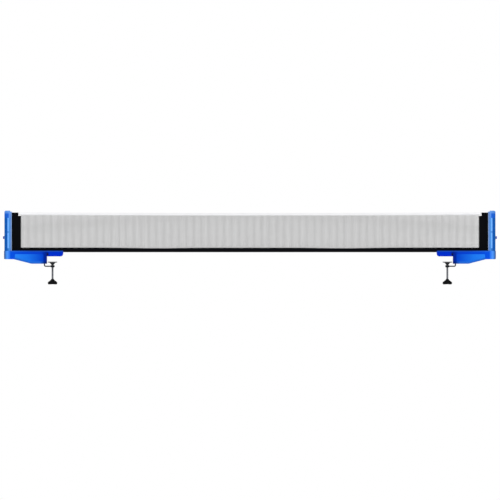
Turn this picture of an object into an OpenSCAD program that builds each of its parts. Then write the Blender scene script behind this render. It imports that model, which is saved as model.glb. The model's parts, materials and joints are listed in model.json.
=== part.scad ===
// Table tennis net set: a net strung between two posts, each on an arm that a screw clamp
// holds to the table's side edge. Millimetres. +X runs along the net, +Y across it, +Z up.
// The origin is the middle of the net on the table's playing surface, so the surface is z = 0.
// Every part of a clamp is drawn for the right-hand end; the left-hand end is its mirror image.

/* [Table] */
// Width of the table between its side edges
table_w = 1525; // [1500:5:1550]
// How far the outer face of a post stands out from the table's edge
post_overhang = 160.5; // [150:0.5:170]

/* [Post] */
// Width of a post, seen from the front
post_w = 22; // [20:0.5:24]
// Depth of a post, across the net
post_d = 27; // [26:0.5:32]
// Wall thickness of the post's folded steel
post_wall = 2; // [1.6:0.1:2.4]
// Radius of the post's two outer corners
post_corner_r = 6; // [4:0.5:7]
// Height of the moulded cap on the post
cap_h = 27.5; // [24:0.5:32]
// Thickness of the cap's roof
cap_roof = 1.6; // [1.2:0.1:2.4]
// Radius of the cap's upper edges at the front and the rear
cap_edge_r = 4; // [1:0.5:4.5]
// Thickness of the post's bottom plate
post_plate_t = 3.6; // [2:0.1:4]
// How far the foot stands out past the post's outer face
foot_lip = 1.4; // [1.4:0.1:3]
// Depth of the foot and of the arm's neck, across the net
foot_d = 32; // [31.5:0.5:36]
// Height of the foot's top edge above the table
foot_top_z = 21; // [18:0.5:26]
// Width of the light trim strips on the post
trim_w = 6; // [5:0.5:8]
// How far a trim strip is let into the post
trim_sunk = 0.6; // [0.4:0.1:1]
// How far a trim strip stands out of the post
trim_proud = 0.8; // [0.4:0.1:1.2]
// Distance from the post's inner edge to the trim strip
trim_inset = 4.5; // [3.5:0.5:5]
// Gap between the upper and the lower trim strip
trim_gap = 4; // [2:0.5:10]
// Height of that gap's middle above the table
trim_gap_z = 92; // [86:0.5:110]
// Gap between the foot's top edge and the lower trim strip
trim_foot_gap = 10; // [3:0.5:14]

/* [Arm] */
// Wall thickness of the arm's two moulded shells
shell_wall = 2.5; // [2:0.1:3]
// Height of the arm's top above the table
arm_top_z = 21.5; // [20:0.5:25]
// Depth of the arm's body, across the net
body_d = 44; // [42:0.5:50]
// How far the arm's body hangs below the table's surface beside the table
body_drop = 27.5; // [25:0.5:28]
// Length of the body's level underside
body_flat_l = 59; // [52:0.5:64]
// Length of the sloping underside towards the post
slope_l = 66.5; // [55:0.5:70]
// Length of the narrower neck next to the post
neck_l = 17.5; // [16:0.5:18.5]
// Radius of the body's upright corners at the table's end
body_corner_r = 12; // [8:0.5:13]
// Length of the tongue that lies on the table
tongue_l = 61; // [56:0.5:75]
// Depth of the tongue, across the net
tongue_d = 34; // [33:0.5:38]
// Radius of the tongue's lower front corner
tongue_nose_r = 11; // [6:0.5:14]
// Radius of the tongue's upright corners
tongue_corner_r = 8; // [4:0.5:10]
// Height of the raised panel on the body's faces
panel_proud = 1; // [0.5:0.1:2]
// How far the raised panel stays below the arm's top
panel_drop = 13; // [10:0.5:15]
// Width of the slot in the arm's top that the net hangs in
slot_w = 5.5; // [5:0.1:7]
// Width of the pocket in the arm's top for the net slider
pocket_w = 10; // [9.6:0.1:11]

/* [Clamp] */
// Thickness of the steel strip of the clamp frame
frame_t = 4.5; // [3.5:0.1:5]
// Width of that strip
frame_w = 25; // [22:0.5:26]
// Distance from the table's edge to the strip's upright leg
leg_gap = 7.5; // [5:0.5:9]
// Outer radius of the lower jaw's bend
jaw_bend_r = 6.5; // [6:0.5:10]
// Distance from the table's edge to the clamp screw's axis
screw_reach = 20.5; // [20.5:0.5:28]
// How far the lower jaw runs past the screw's axis
jaw_end = 8; // [8:0.5:12]
// Thickness of the rubber pad under the tongue
jaw_pad_t = 1.8; // [1.5:0.1:2.5]
// Length of that pad
jaw_pad_l = 50; // [40:1:53]
// Diameter of the clamp screw
screw_d = 8; // [6:0.5:9]
// Diameter of the clamp nut
nut_d = 14.5; // [13:0.5:17]
// Height of the clamp nut
nut_h = 8.4; // [8:0.1:12]
// How far the top of the clamping pad is below the table's surface, as set
pad_drop = 19.5; // [16.5:0.1:24]
// Diameter of the clamping pad
pad_d = 36; // [30:0.5:37]
// Thickness of the clamping pad's facing
facing_t = 1.9; // [0.5:0.1:2]
// Thickness of the clamping pad's plate
plate_t = 2.6; // [2:0.1:3]
// Height of the hub under the clamping pad
hub_h = 6.9; // [6:0.1:9]
// Diameter of the hub where it carries the pad
hub_top_d = 20; // [14:0.5:24]
// Gap between the hub and the clamp nut, as set
hub_gap = 1.7; // [1.5:0.1:8]
// Span of the wing grip
grip_w = 35.6; // [30:0.2:44]
// Height of the wing grip
grip_h = 20.7; // [19.7:0.1:24]
// Thickness of the wings
wing_t = 8.4; // [6:0.2:10]
// How far the wings' lower edge rises at the middle
wing_arch = 0.6; // [0.3:0.1:3]
// How far the wing grip's top is below the table's surface, as set
grip_drop = 84.5; // [75:0.5:100]

/* [Net] */
// Height of the whole net from its bottom band to its top edge
net_h = 149.2; // [130:0.1:165]
// How much the top edge hangs down at mid-span
net_sag = 2.5; // [0:0.5:8]
// Height of the top tape
tape_h = 8.8; // [8:0.1:16]
// Thickness of the folded top tape
tape_t = 4.4; // [4.2:0.1:5]
// Height of the bottom band
band_h = 18; // [14:0.1:20]
// Thickness of the folded bottom band
band_t = 4; // [3.8:0.1:4.4]
// Thickness of the cloth that tape, band and sleeves are folded from
cloth_t = 0.9; // [0.7:0.1:0.95]
// Width of the side sleeves
sleeve_w = 35.1; // [28:0.1:40]
// Width of the upper end of a side sleeve, next to the top tape
ear_w = 24.9; // [18:0.1:26]
// How far below the top tape that upper end starts
ear_drop = 3.7; // [0.2:0.1:12]
// Outer diameter of the round seam that holds the side rod
tunnel_d = 8; // [7.4:0.1:8.6]
// Thickness of the net's mesh
mesh_t = 1; // [0.8:0.1:1.2]
// Width of the mesh's strands
strand_w = 2.4; // [1.6:0.2:4]
// Number of gaps along the mesh
mesh_cols = 60; // [20:1:60]
// Number of gaps up the mesh
mesh_rows = 5; // [2:1:5]

/* [Height setting] */
// How far the slider's web stands out of the post towards the net
web_reach = 5.2; // [4:0.1:8]
// Gap between that web and the side sleeve
sleeve_gap = 0.2; // [0.1:0.1:2.5]
// Width of the slider's web between post and sleeve
web_t = 8; // [7.6:0.1:9]
// Thickness of the slider's plate inside the post
slider_plate_t = 7.6; // [6:0.1:8.5]
// Thickness of the slider's lug that the side rod stands in
lug_t = 4.5; // [3:0.1:6]
// Thickness of the slider's hook over the sleeve's upper end
hook_t = 3; // [2:0.1:5]
// How far that hook reaches over the sleeve
hook_reach = 1.5; // [0.5:0.1:4]
// Diameter of the side rod
rod_d = 5; // [4:0.1:5.2]
// Height of the thumb screw's axis above the table, as set
lock_z = 71; // [60:0.5:110]
// Diameter of the thumb screw's thread
lock_d = 5; // [4:0.1:5.2]
// Diameter of the thumb screw's head
lock_head_d = 10; // [9:0.5:16]
// Length of the thumb screw's head
lock_head_l = 4; // [4:0.1:10]
// How far the net can be lowered from where it is set
lower_travel = 9.4; // [8:0.1:14]
// How far the net can be raised from where it is set
raise_travel = 1.7; // [0.5:0.1:4]

/* [Fits] */
// Radial clearance of a shaft that turns or slides in its bore
run_clear = 0.08; // [0.03:0.01:0.1]
// Radial clearance of a screw or rod that is fixed in its hole
fix_clear = 0.03; // [0.01:0.01:0.05]
// Clearance between flat faces that slide past each other
slide_clear = 0.3; // [0.2:0.05:0.4]
// Clearance round a part that is laid into a moulded shell
nest_clear = 0.2; // [0.1:0.05:0.3]

/* [Hidden] */
$fn = 48;
eps = 0.01;
far = 400;
arc_steps = 6;
sag_steps = 16;

// Levels and places along X, from the middle of the net outwards
edge_x = table_w / 2;
post_out_x = edge_x + post_overhang;
post_in_x = post_out_x - post_w;
arm_out_x = post_in_x;
tip_x = edge_x - tongue_l;
neck_x = arm_out_x - neck_l;
slope_x = edge_x + body_flat_l;
slope_end_x = slope_x + slope_l;
panel_x = edge_x + body_corner_r + 2;
frame_top_z = jaw_pad_t + frame_t;
tongue_floor_z = 0.5;
leg_in_x = edge_x + leg_gap;
leg_out_x = leg_in_x + frame_t;
leg_tip_x = tip_x + shell_wall + 0.5;
screw_x = edge_x - screw_reach;
jaw_join_x = screw_x + 16;
bar_end_x = post_out_x - post_wall - 2;

// The clamp below the table, from the pad down to the wing grip. The jaw carries the nut, which
// stays clear of the hub.
facing_low_z = -pad_drop - facing_t;
plate_low_z = facing_low_z - plate_t;
hub_low_z = plate_low_z - hub_h;
socket_top_z = plate_low_z - 2;
nut_top_z = hub_low_z - hub_gap;
nut_low_z = nut_top_z - nut_h;
jaw_top_z = nut_top_z - (nut_h - frame_t) / 2;
jaw_low_z = jaw_top_z - frame_t;
grip_top_z = -grip_drop;
grip_low_z = grip_top_z - grip_h;
grip_bore_z = grip_low_z + 4;

// The net and its slider. At its lowest the net stops just above the frame's upper leg.
hook_clear = 0.4;
lug_clear = 0.5;
lug_stop = 0.5;
net_low_z = frame_top_z + slide_clear + lower_travel;
net_top_z = net_low_z + net_h;
band_top_z = net_low_z + band_h;
tape_low_z = net_top_z - tape_h;
sleeve_step_z = tape_low_z - ear_drop;
web_x = post_in_x - web_reach;
sleeve_out_x = web_x - sleeve_gap;
sleeve_in_x = sleeve_out_x - sleeve_w;
ear_x = sleeve_out_x - ear_w;
rod_x = sleeve_out_x - tunnel_d / 2;
cord_d = 2.5;
cord_z = net_top_z - cloth_t - 0.1 - cord_d / 2;
cord_channel_z = cord_z - cord_d / 2 - 0.3;
rod_top_z = cord_channel_z - 3.3;
slider_out_x = post_out_x - post_wall - slide_clear - 0.1;
slider_in_x = slider_out_x - slider_plate_t;
slider_w = post_d - 2 * post_wall - 3.6;
slider_corner_r = post_corner_r - post_wall;
lug_top_z = net_low_z - lug_clear;
lug_low_z = lug_top_z - lug_t;
lug_in_x = rod_x - rod_d / 2 - 2.6;
slider_top_z = net_top_z + hook_clear + hook_t;
knot_d = 5.2;
knot_x = web_x + 9;
knot_window_l = 7.4;
pocket_x = lug_in_x - 1.6;

// The post and the steel bar under it: the post's bottom plate lies below the slider's lowest
// place, its cap above the highest, and the foot and the neck cover the screw's head
post_screw_head_t = 3.2;
plate_top_z = lug_low_z - lower_travel - lug_stop;
bar_top_z = plate_top_z - post_plate_t;
bar_z = bar_top_z - frame_t;
neck_low_z = bar_z - post_screw_head_t - slide_clear;
post_top_z = slider_top_z + raise_travel + hook_clear + cap_roof;
cap_z = post_top_z - cap_h;

// Fasteners: the places of the three shell screws along X and Z, and their sizes
shell_screws = [
    [leg_out_x + 11, -body_drop + 11],
    [slope_x + 10, -body_drop + 12.5],
    [neck_x - 12, bar_top_z + 4.3]
];
shell_screw_d = 3;
shell_head_d = 6;
shell_head_t = 2.2;
boss_d = 6.8;
tongue_screw_d = 3;
tongue_head_d = 6.4;
tongue_head_t = 1.8;
tongue_screw_x = edge_x - 2;
tongue_screw_z = frame_top_z + 2.3;
ear_l = 10;
frame_ear_t = 3.5;
post_screw_d = 5;
post_screw_head_d = 8.5;
post_screw_x = post_in_x + post_w / 2;

// ---- Outlines ----

function xy(p) = [p.x, p.y];
function unit(v) = v / norm(v);

// The arc that rounds corner b between its neighbours a and c
function corner(a, b, c, r) =
    let (u = unit(a - b), v = unit(c - b), half = acos(u * v) / 2,
         middle = b + unit(u + v) * r / sin(half),
         p = b + u * r / tan(half) - middle, q = b + v * r / tan(half) - middle,
         start = atan2(p.y, p.x),
         turn = (atan2(q.y, q.x) - start + 540) % 360 - 180)
    [for (i = [0:arc_steps])
        middle + r * [cos(start + turn * i / arc_steps), sin(start + turn * i / arc_steps)]];

// An outline of points [across, up, corner radius], with its corners rounded
function rounded(points) =
    let (n = len(points))
    [for (i = [0:n - 1])
        let (p = points[i])
        each p[2] == 0
            ? [xy(p)]
            : corner(xy(points[(i + n - 1) % n]), xy(p), xy(points[(i + 1) % n]), p[2])];

// A counter-clockwise outline moved inwards by d
function inset(points, d) =
    let (n = len(points))
    [for (i = [0:n - 1])
        let (p = points[i],
             u = unit(xy(p) - xy(points[(i + n - 1) % n])),
             v = unit(xy(points[(i + 1) % n]) - xy(p)),
             a = [-u.y, u.x], b = [-v.y, v.x],
             moved = xy(p) + d * (a + b) / (1 + a * b))
        [moved.x, moved.y, max(p[2] - d, 0)]];

function rectangle(x0, y0, x1, y1, r = 0) = [[x0, y0, r], [x1, y0, r], [x1, y1, r], [x0, y1, r]];

// ---- Solids from outlines ----

// An outline of X and Z, from y0 to y1
module along_y(y0, y1, points)
    translate([0, y1, 0]) rotate([90, 0, 0]) linear_extrude(y1 - y0) polygon(points);

// An outline of X and Y, from z0 to z1
module along_z(z0, z1, points)
    translate([0, 0, z0]) linear_extrude(z1 - z0) polygon(points);

// An outline of Y and Z, from x0 to x1
module along_x(x0, x1, points)
    translate([x0, 0, 0]) rotate([90, 0, 90]) linear_extrude(x1 - x0) polygon(points);

module block(x0, x1, y0, y1, z0, z1)
    translate([x0, y0, z0]) cube([x1 - x0, y1 - y0, z1 - z0]);

// A rod along Y, and one along X
module rod_y(d, x, y0, y1, z)
    translate([x, y1, z]) rotate([90, 0, 0]) cylinder(d = d, h = y1 - y0);
module rod_x_way(d, x0, x1, z)
    translate([x0, 0, z]) rotate([0, 90, 0]) cylinder(d = d, h = x1 - x0);

// A turned part about the clamp screw's axis, from points [radius, z]
module turned(points)
    translate([screw_x, 0, 0]) rotate_extrude($fn = 64) polygon(points);

module right() children();
module left() mirror([1, 0, 0]) children();

// ---- Arm ----

body_side = [
    [edge_x, -body_drop, 2], [slope_x, -body_drop, 20], [slope_end_x, neck_low_z, 12],
    [arm_out_x, neck_low_z, 0], [arm_out_x, arm_top_z, 0], [edge_x, arm_top_z, 0]
];
body_plan = [
    [edge_x, -body_d / 2, body_corner_r], [neck_x, -body_d / 2, 8],
    [arm_out_x, -foot_d / 2, 0], [arm_out_x, foot_d / 2, 0],
    [neck_x, body_d / 2, 8], [edge_x, body_d / 2, body_corner_r]
];
tongue_root_x = edge_x + body_corner_r + 4;
tongue_side = [
    [tip_x, tongue_floor_z, tongue_nose_r], [tongue_root_x, tongue_floor_z, 0],
    [tongue_root_x, arm_top_z, 0], [tip_x, arm_top_z, 2.6]
];
tongue_plan = [
    [tip_x, -tongue_d / 2, tongue_corner_r], [tongue_root_x, -tongue_d / 2, 0],
    [tongue_root_x, tongue_d / 2, 0], [tip_x, tongue_d / 2, tongue_corner_r]
];
panel_side = [
    [panel_x, -body_drop + 2.2, 3], [slope_x, -body_drop + 2.2, 20],
    [neck_x, neck_low_z + 0.8, 3], [neck_x, arm_top_z - panel_drop, 3],
    [panel_x, arm_top_z - panel_drop, 3]
];

// The arm's outer shape, moved inwards by d
module arm_shape(d = 0) {
    intersection() {
        along_y(-body_d, body_d, rounded(inset(body_side, d)));
        along_z(-2 * body_drop, 2 * arm_top_z, rounded(inset(body_plan, d)));
    }
    intersection() {
        along_y(-body_d, body_d, rounded(inset(tongue_side, d)));
        along_z(-body_drop, 2 * arm_top_z, rounded(inset(tongue_plan, d)));
    }
}

// Everything that the net, its slider and the steel frame need free inside the arm
module arm_openings() {
    frame_half = frame_w / 2 + nest_clear;
    block(tip_x - 1, pocket_x + 1, -slot_w / 2, slot_w / 2, frame_top_z + eps, arm_top_z + 1);
    block(pocket_x, arm_out_x + 1, -pocket_w / 2, pocket_w / 2,
          lug_low_z - lower_travel - 0.6, arm_top_z + 1);
    block(leg_tip_x - nest_clear, leg_out_x, -frame_half, frame_half,
          tongue_floor_z - eps, frame_top_z + nest_clear);
    block(leg_in_x - nest_clear, leg_out_x + nest_clear, -frame_half, frame_half,
          -body_drop - 1, frame_top_z + nest_clear);
    block(leg_in_x, arm_out_x + 1, -frame_half, frame_half,
          bar_z - nest_clear, bar_top_z + nest_clear);
}

module shell_ribs()
    for (x = [(leg_out_x + slope_x) / 2 + 2, slope_x + slope_l / 2])
        intersection() {
            arm_shape(shell_wall - 0.4);
            block(x, x + 1.6, -body_d / 2, -frame_w / 2 - 0.5, -far, arm_top_z);
        }

// One shell, drawn as the front one; hole is the diameter of its shell screw holes
module arm_shell(hole) {
    split = nest_clear / 2;
    difference() {
        union() {
            difference() {
                union() {
                    arm_shape();
                    along_y(-body_d / 2 - panel_proud, 0, rounded(panel_side));
                }
                arm_shape(shell_wall);
            }
            shell_ribs();
            for (s = shell_screws)
                rod_y(boss_d, s.x, -body_d / 2 + 1, 0, s.y);
            rod_y(tongue_head_d + 4, tongue_screw_x, -tongue_d / 2 + 1,
                  -frame_w / 2 - nest_clear, tongue_screw_z);
        }
        block(-far, post_out_x + far, -split, body_d, -far, far);
        arm_openings();
        for (s = shell_screws)
            rod_y(hole, s.x, -body_d / 2 + 6, 1, s.y);
        rod_y(tongue_screw_d + 0.6, tongue_screw_x, -tongue_d, 0, tongue_screw_z);
        rod_y(tongue_head_d + 0.8, tongue_screw_x, -tongue_d,
              -frame_w / 2 - nest_clear - 2, tongue_screw_z);
    }
}

module arm_front_shell() color("#0b50dc") arm_shell(shell_screw_d + 2 * fix_clear);

module arm_rear_shell()
    color("#0b50dc")
        difference() {
            mirror([0, 1, 0]) arm_shell(shell_screw_d + 0.4);
            for (s = shell_screws) {
                rod_y(shell_screw_d + 0.4, s.x, 0, body_d, s.y);
                rod_y(shell_head_d + 0.6, s.x, body_d / 2 - shell_head_t - 0.4, body_d, s.y);
            }
        }

module shell_screws()
    color("#7d8288")
        for (s = shell_screws) {
            rod_y(shell_head_d, s.x, body_d / 2 - shell_head_t - 0.4, body_d / 2 - 0.4, s.y);
            rod_y(shell_screw_d, s.x, -body_d / 2 + 7, body_d / 2 - shell_head_t, s.y);
        }

module tongue_screws() {
    seat_y = frame_w / 2 + nest_clear + 2;
    color("#1c1f24")
        for (side = [0, 1])
            mirror([0, side, 0]) {
                rod_y(tongue_head_d, tongue_screw_x, -seat_y - tongue_head_t, -seat_y,
                      tongue_screw_z);
                rod_y(tongue_screw_d, tongue_screw_x, -seat_y, -frame_w / 2 + frame_ear_t,
                      tongue_screw_z);
            }
}

module jaw_pad()
    color("#17181a")
        along_z(0, jaw_pad_t,
                rounded(rectangle(leg_tip_x + 4, -frame_w / 2 + 0.5,
                                  leg_tip_x + 4 + jaw_pad_l, frame_w / 2 - 0.5, 3)));

// ---- Clamp ----

frame_side = [
    [jaw_join_x, jaw_low_z, 0], [leg_out_x, jaw_low_z, jaw_bend_r], [leg_out_x, bar_z, 0],
    [bar_end_x, bar_z, 0], [bar_end_x, bar_top_z, 0], [leg_out_x, bar_top_z, 0],
    [leg_out_x, frame_top_z, frame_t], [leg_tip_x + 10, frame_top_z, 0],
    [leg_tip_x + 10, jaw_pad_t, 0], [leg_in_x, jaw_pad_t, 0.8],
    [leg_in_x, jaw_top_z, jaw_bend_r - frame_t], [jaw_join_x, jaw_top_z, 0]
];

module clamp_frame() {
    half = frame_w / 2;
    color("#3a3c40")
        difference() {
            union() {
                along_y(-half, half, rounded(frame_side));
                along_z(jaw_low_z, jaw_top_z,
                        rounded([[screw_x - jaw_end, -half, 6], [jaw_join_x + eps, -half, 0],
                                 [jaw_join_x + eps, half, 0], [screw_x - jaw_end, half, 6]]));
                along_z(jaw_pad_t, frame_top_z,
                        rounded([[leg_tip_x, -half, 5], [leg_tip_x + 10 + eps, -half, 0],
                                 [leg_tip_x + 10 + eps, half, 0], [leg_tip_x, half, 5]]));
                for (side = [0, 1])
                    mirror([0, side, 0])
                        along_y(-half, -half + frame_ear_t,
                                rounded([[tongue_screw_x - ear_l / 2, frame_top_z - 1, 0],
                                         [tongue_screw_x + ear_l / 2, frame_top_z - 1, 0],
                                         [tongue_screw_x + ear_l / 2, tongue_screw_z + 4, 2],
                                         [tongue_screw_x - ear_l / 2, tongue_screw_z + 4, 2]]));
            }
            translate([screw_x, 0, jaw_low_z - 1])
                cylinder(d = nut_d - 3.4 + 2 * fix_clear, h = frame_t + 2);
            translate([post_screw_x, 0, bar_z - 1])
                cylinder(d = post_screw_d + 0.4, h = frame_t + 2);
            rod_y(tongue_screw_d + 2 * fix_clear, tongue_screw_x, -frame_w, frame_w,
                  tongue_screw_z);
        }
}

screw_bore_r = screw_d / 2 + run_clear;

module clamp_nut()
    color("#292a2d")
        turned([
            [screw_bore_r, nut_low_z], [nut_d / 2 - 1, nut_low_z], [nut_d / 2, nut_low_z + 1],
            [nut_d / 2, jaw_low_z], [nut_d / 2 - 1.7, jaw_low_z],
            [nut_d / 2 - 1.7, jaw_top_z], [nut_d / 2, jaw_top_z],
            [nut_d / 2, nut_top_z - 1], [nut_d / 2 - 1, nut_top_z], [screw_bore_r, nut_top_z]
        ]);

module clamp_screw()
    color("#8e9196")
        translate([screw_x, 0, grip_bore_z + 0.2])
            cylinder(d = screw_d, h = socket_top_z - 0.2 - grip_bore_z - 0.2);

module pad_facing()
    color("#5e5f61")
        translate([screw_x, 0, facing_low_z]) cylinder(d = pad_d - 1, h = facing_t);

module pad_plate()
    color("#5a5b5e")
        turned([[0, plate_low_z], [hub_top_d / 2, plate_low_z], [pad_d / 2 - 0.6, facing_low_z - 1],
                [pad_d / 2, facing_low_z - 0.6], [pad_d / 2, facing_low_z], [0, facing_low_z]]);

module pad_hub()
    color("#1e1f22")
        turned([[0, socket_top_z], [screw_bore_r, socket_top_z], [screw_bore_r, hub_low_z],
                [screw_d / 2 + 1.4, hub_low_z], [hub_top_d / 2, plate_low_z - 1],
                [hub_top_d / 2, plate_low_z], [0, plate_low_z]]);

module wing_grip() {
    half = grip_w / 2;
    wing = [
        [-half, grip_low_z, 4.2], [-7, grip_low_z, 3], [-4, grip_low_z + wing_arch, 3],
        [4, grip_low_z + wing_arch, 3], [7, grip_low_z, 3], [half, grip_low_z, 4.2],
        [half, grip_low_z + 8.4, 3.6], [screw_d / 2 + 2.2, grip_top_z - 3.4, 6],
        [screw_d / 2 + 1, grip_top_z, 0.8], [-screw_d / 2 - 1, grip_top_z, 0.8],
        [-screw_d / 2 - 2.2, grip_top_z - 3.4, 6], [-half, grip_low_z + 8.4, 3.6]
    ];
    color("#101113")
        difference() {
            union() {
                translate([screw_x, 0, 0]) along_y(-wing_t / 2, wing_t / 2, rounded(wing));
                turned([[0, grip_low_z + wing_arch], [screw_d / 2 + 3, grip_low_z + wing_arch],
                        [screw_d / 2 + 2.6, grip_top_z - 3.4], [screw_d / 2 + 1, grip_top_z],
                        [0, grip_top_z]]);
            }
            translate([screw_x, 0, grip_bore_z])
                cylinder(d = screw_d + 2 * fix_clear, h = grip_h);
        }
}

// ---- Post ----

post_section = [
    [post_in_x, -post_d / 2, 0.8], [post_out_x, -post_d / 2, post_corner_r],
    [post_out_x, post_d / 2, post_corner_r], [post_in_x, post_d / 2, 0.8]
];

// The free room inside the post, open towards the net
function post_room(gap = 0) =
    let (y = post_d / 2 - post_wall - gap, r = post_corner_r - post_wall)
    [[post_in_x - 1, -y, 0], [post_out_x - post_wall - gap, -y, r],
     [post_out_x - post_wall - gap, y, r], [post_in_x - 1, y, 0]];

lock_slot_w = lock_d + 0.6;

module lock_slot() {
    low = lock_z - lower_travel - 0.2;
    high = lock_z + raise_travel + 0.2;
    for (z = [low, high])
        rod_x_way(lock_slot_w, slider_out_x, post_out_x + 1, z);
    block(slider_out_x, post_out_x + 1, -lock_slot_w / 2, lock_slot_w / 2, low, high);
}

trim_x = post_in_x + trim_inset;
trim_spans = [
    [foot_top_z + trim_foot_gap, trim_gap_z - trim_gap / 2],
    [trim_gap_z + trim_gap / 2, cap_z]
];

module post()
    color("#1a5fb4")
        difference() {
            along_z(bar_top_z, cap_z, rounded(post_section));
            along_z(plate_top_z, cap_z + 1, rounded(post_room()));
            lock_slot();
            translate([post_screw_x, 0, bar_top_z - 1])
                cylinder(d = post_screw_d + 2 * fix_clear, h = post_plate_t + 2);
            for (side = [0, 1], span = trim_spans)
                mirror([0, side, 0])
                    block(trim_x - 0.1, trim_x + trim_w + 0.1, -post_d,
                          -post_d / 2 + trim_sunk, span[0], span[1] + eps);
        }

module post_trim()
    color("#70b1ff")
        for (side = [0, 1], span = trim_spans)
            mirror([0, side, 0])
                along_z(span[0], span[1],
                        rounded([[trim_x, -post_d / 2 - trim_proud, trim_proud],
                                 [trim_x + trim_w, -post_d / 2 - trim_proud, trim_proud],
                                 [trim_x + trim_w, -post_d / 2 + trim_sunk, 0],
                                 [trim_x, -post_d / 2 + trim_sunk, 0]]));

module post_cap() {
    top = [
        [post_in_x, cap_z, 0], [post_out_x, cap_z, 0],
        [post_out_x, post_top_z, post_corner_r], [post_in_x, post_top_z, 2.5]
    ];
    tab_y = post_d / 2 - post_wall - 0.1;
    color("#326ecd") {
        difference() {
            intersection() {
                along_z(cap_z, post_top_z, rounded(post_section));
                along_y(-post_d, post_d, rounded(top));
                along_x(post_in_x - 1, post_out_x + 1,
                        rounded([[-post_d / 2, cap_z - 1, 0], [post_d / 2, cap_z - 1, 0],
                                 [post_d / 2, post_top_z, cap_edge_r],
                                 [-post_d / 2, post_top_z, cap_edge_r]]));
            }
            along_z(cap_z - 1, post_top_z - cap_roof, rounded(post_room()));
        }
        for (side = [0, 1])
            mirror([0, side, 0]) {
                block(post_in_x + 2.5, post_in_x + 14, -tab_y, -tab_y + 1.2, cap_z - 8, cap_z + 4);
                block(post_in_x + 2.5, post_in_x + 14, -tab_y - 0.6, -tab_y + 0.5,
                      cap_z, cap_z + 4);
            }
    }
}

module post_foot() {
    side = [
        [arm_out_x, neck_low_z, 0], [post_out_x + foot_lip, neck_low_z, 4],
        [post_out_x + foot_lip, foot_top_z, 1.2], [arm_out_x, foot_top_z, 0]
    ];
    plan = [
        [arm_out_x, -foot_d / 2, 0], [post_out_x + foot_lip, -foot_d / 2, post_corner_r + 1],
        [post_out_x + foot_lip, foot_d / 2, post_corner_r + 1], [arm_out_x, foot_d / 2, 0]
    ];
    seat = [
        [arm_out_x - 1, -post_d / 2 - nest_clear, 0],
        [post_out_x + nest_clear, -post_d / 2 - nest_clear, post_corner_r],
        [post_out_x + nest_clear, post_d / 2 + nest_clear, post_corner_r],
        [arm_out_x - 1, post_d / 2 + nest_clear, 0]
    ];
    color("#4e98ff")
        difference() {
            intersection() {
                along_y(-foot_d, foot_d, rounded(side));
                along_z(-far, far, rounded(plan));
            }
            along_z(bar_top_z - nest_clear, far, rounded(seat));
            block(arm_out_x - 1, bar_end_x + nest_clear, -frame_w / 2 - nest_clear,
                  frame_w / 2 + nest_clear, bar_z - nest_clear, bar_top_z);
            translate([post_screw_x, 0, neck_low_z - 1])
                cylinder(d = post_screw_head_d + 1, h = bar_z - neck_low_z + 2);
        }
}

module post_screw()
    color("#7d8288") {
        translate([post_screw_x, 0, bar_z - post_screw_head_t])
            cylinder(d = post_screw_head_d, h = post_screw_head_t);
        translate([post_screw_x, 0, bar_z - eps])
            cylinder(d = post_screw_d, h = frame_t + post_plate_t + eps);
    }

// ---- Height setting ----

module net_slider() {
    plate = [
        [slider_in_x, -slider_w / 2, 0], [slider_out_x, -slider_w / 2, slider_corner_r],
        [slider_out_x, slider_w / 2, slider_corner_r], [slider_in_x, slider_w / 2, 0]
    ];
    color("#7ca6e8")
        difference() {
            union() {
                along_z(lug_low_z, slider_top_z, rounded(plate));
                block(web_x, slider_in_x + eps, -web_t / 2, web_t / 2, lug_low_z, slider_top_z);
                block(sleeve_out_x - hook_reach, web_x + eps, -web_t / 2, web_t / 2,
                      net_top_z + hook_clear, slider_top_z);
                along_z(lug_low_z, lug_top_z,
                        rounded([[lug_in_x, -pocket_w / 2 + 0.5, 3], [web_x + 1, -pocket_w / 2 + 0.5, 0],
                                 [web_x + 1, pocket_w / 2 - 0.5, 0], [lug_in_x, pocket_w / 2 - 0.5, 3]]));
            }
            translate([rod_x, 0, lug_low_z - 1])
                cylinder(d = rod_d + 2 * fix_clear, h = lug_t + 2);
            rod_x_way(cord_d + 0.8, web_x - 1, knot_x, cord_z);
            block(knot_x - knot_window_l / 2, knot_x + knot_window_l / 2, -web_t, web_t,
                  cord_z - knot_d / 2 - 0.6, cord_z + knot_d / 2 + 0.6);
            rod_x_way(lock_d + 2 * run_clear, slider_in_x - 5.5, slider_out_x + 1, lock_z);
        }
}

module side_rod()
    color("#9ea1a6")
        translate([rod_x, 0, lug_low_z]) cylinder(d = rod_d, h = rod_top_z - lug_low_z);

washer_t = 1;
washer_x = post_out_x + 0.1;
lock_head_x = washer_x + washer_t + 0.05;

module height_washer()
    color("#9ea1a6")
        difference() {
            rod_x_way(lock_head_d + 2, washer_x, washer_x + washer_t, lock_z);
            rod_x_way(lock_d + 2 * run_clear, washer_x - 1, washer_x + washer_t + 1, lock_z);
        }

module height_screw()
    color("#123a9c") {
        rod_x_way(lock_d, slider_in_x - 4.5, lock_head_x + eps, lock_z);
        difference() {
            rod_x_way(lock_head_d, lock_head_x, lock_head_x + lock_head_l, lock_z);
            for (a = [0:30:330])
                translate([0, 0, lock_z]) rotate([a, 0, 0])
                    translate([lock_head_x + 1, 0, lock_head_d / 2 + 0.5])
                        rotate([0, 90, 0]) cylinder(d = 2.2, h = lock_head_l, $fn = 24);
        }
    }

// ---- Net ----

// How far the net's top edge hangs down at x, from 0 at the sleeves to net_sag at mid-span
function sag(x) = net_sag * max(0, 1 - (x / ear_x) * (x / ear_x));

// Points along the span, from -reach to reach, at height z below the straight edge
function hung(reach, z, steps = sag_steps) =
    [for (i = [0:steps]) let (x = reach * (2 * i / steps - 1)) [x, z - sag(x)]];

function reversed(list) = [for (i = [len(list) - 1:-1:0]) list[i]];

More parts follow.
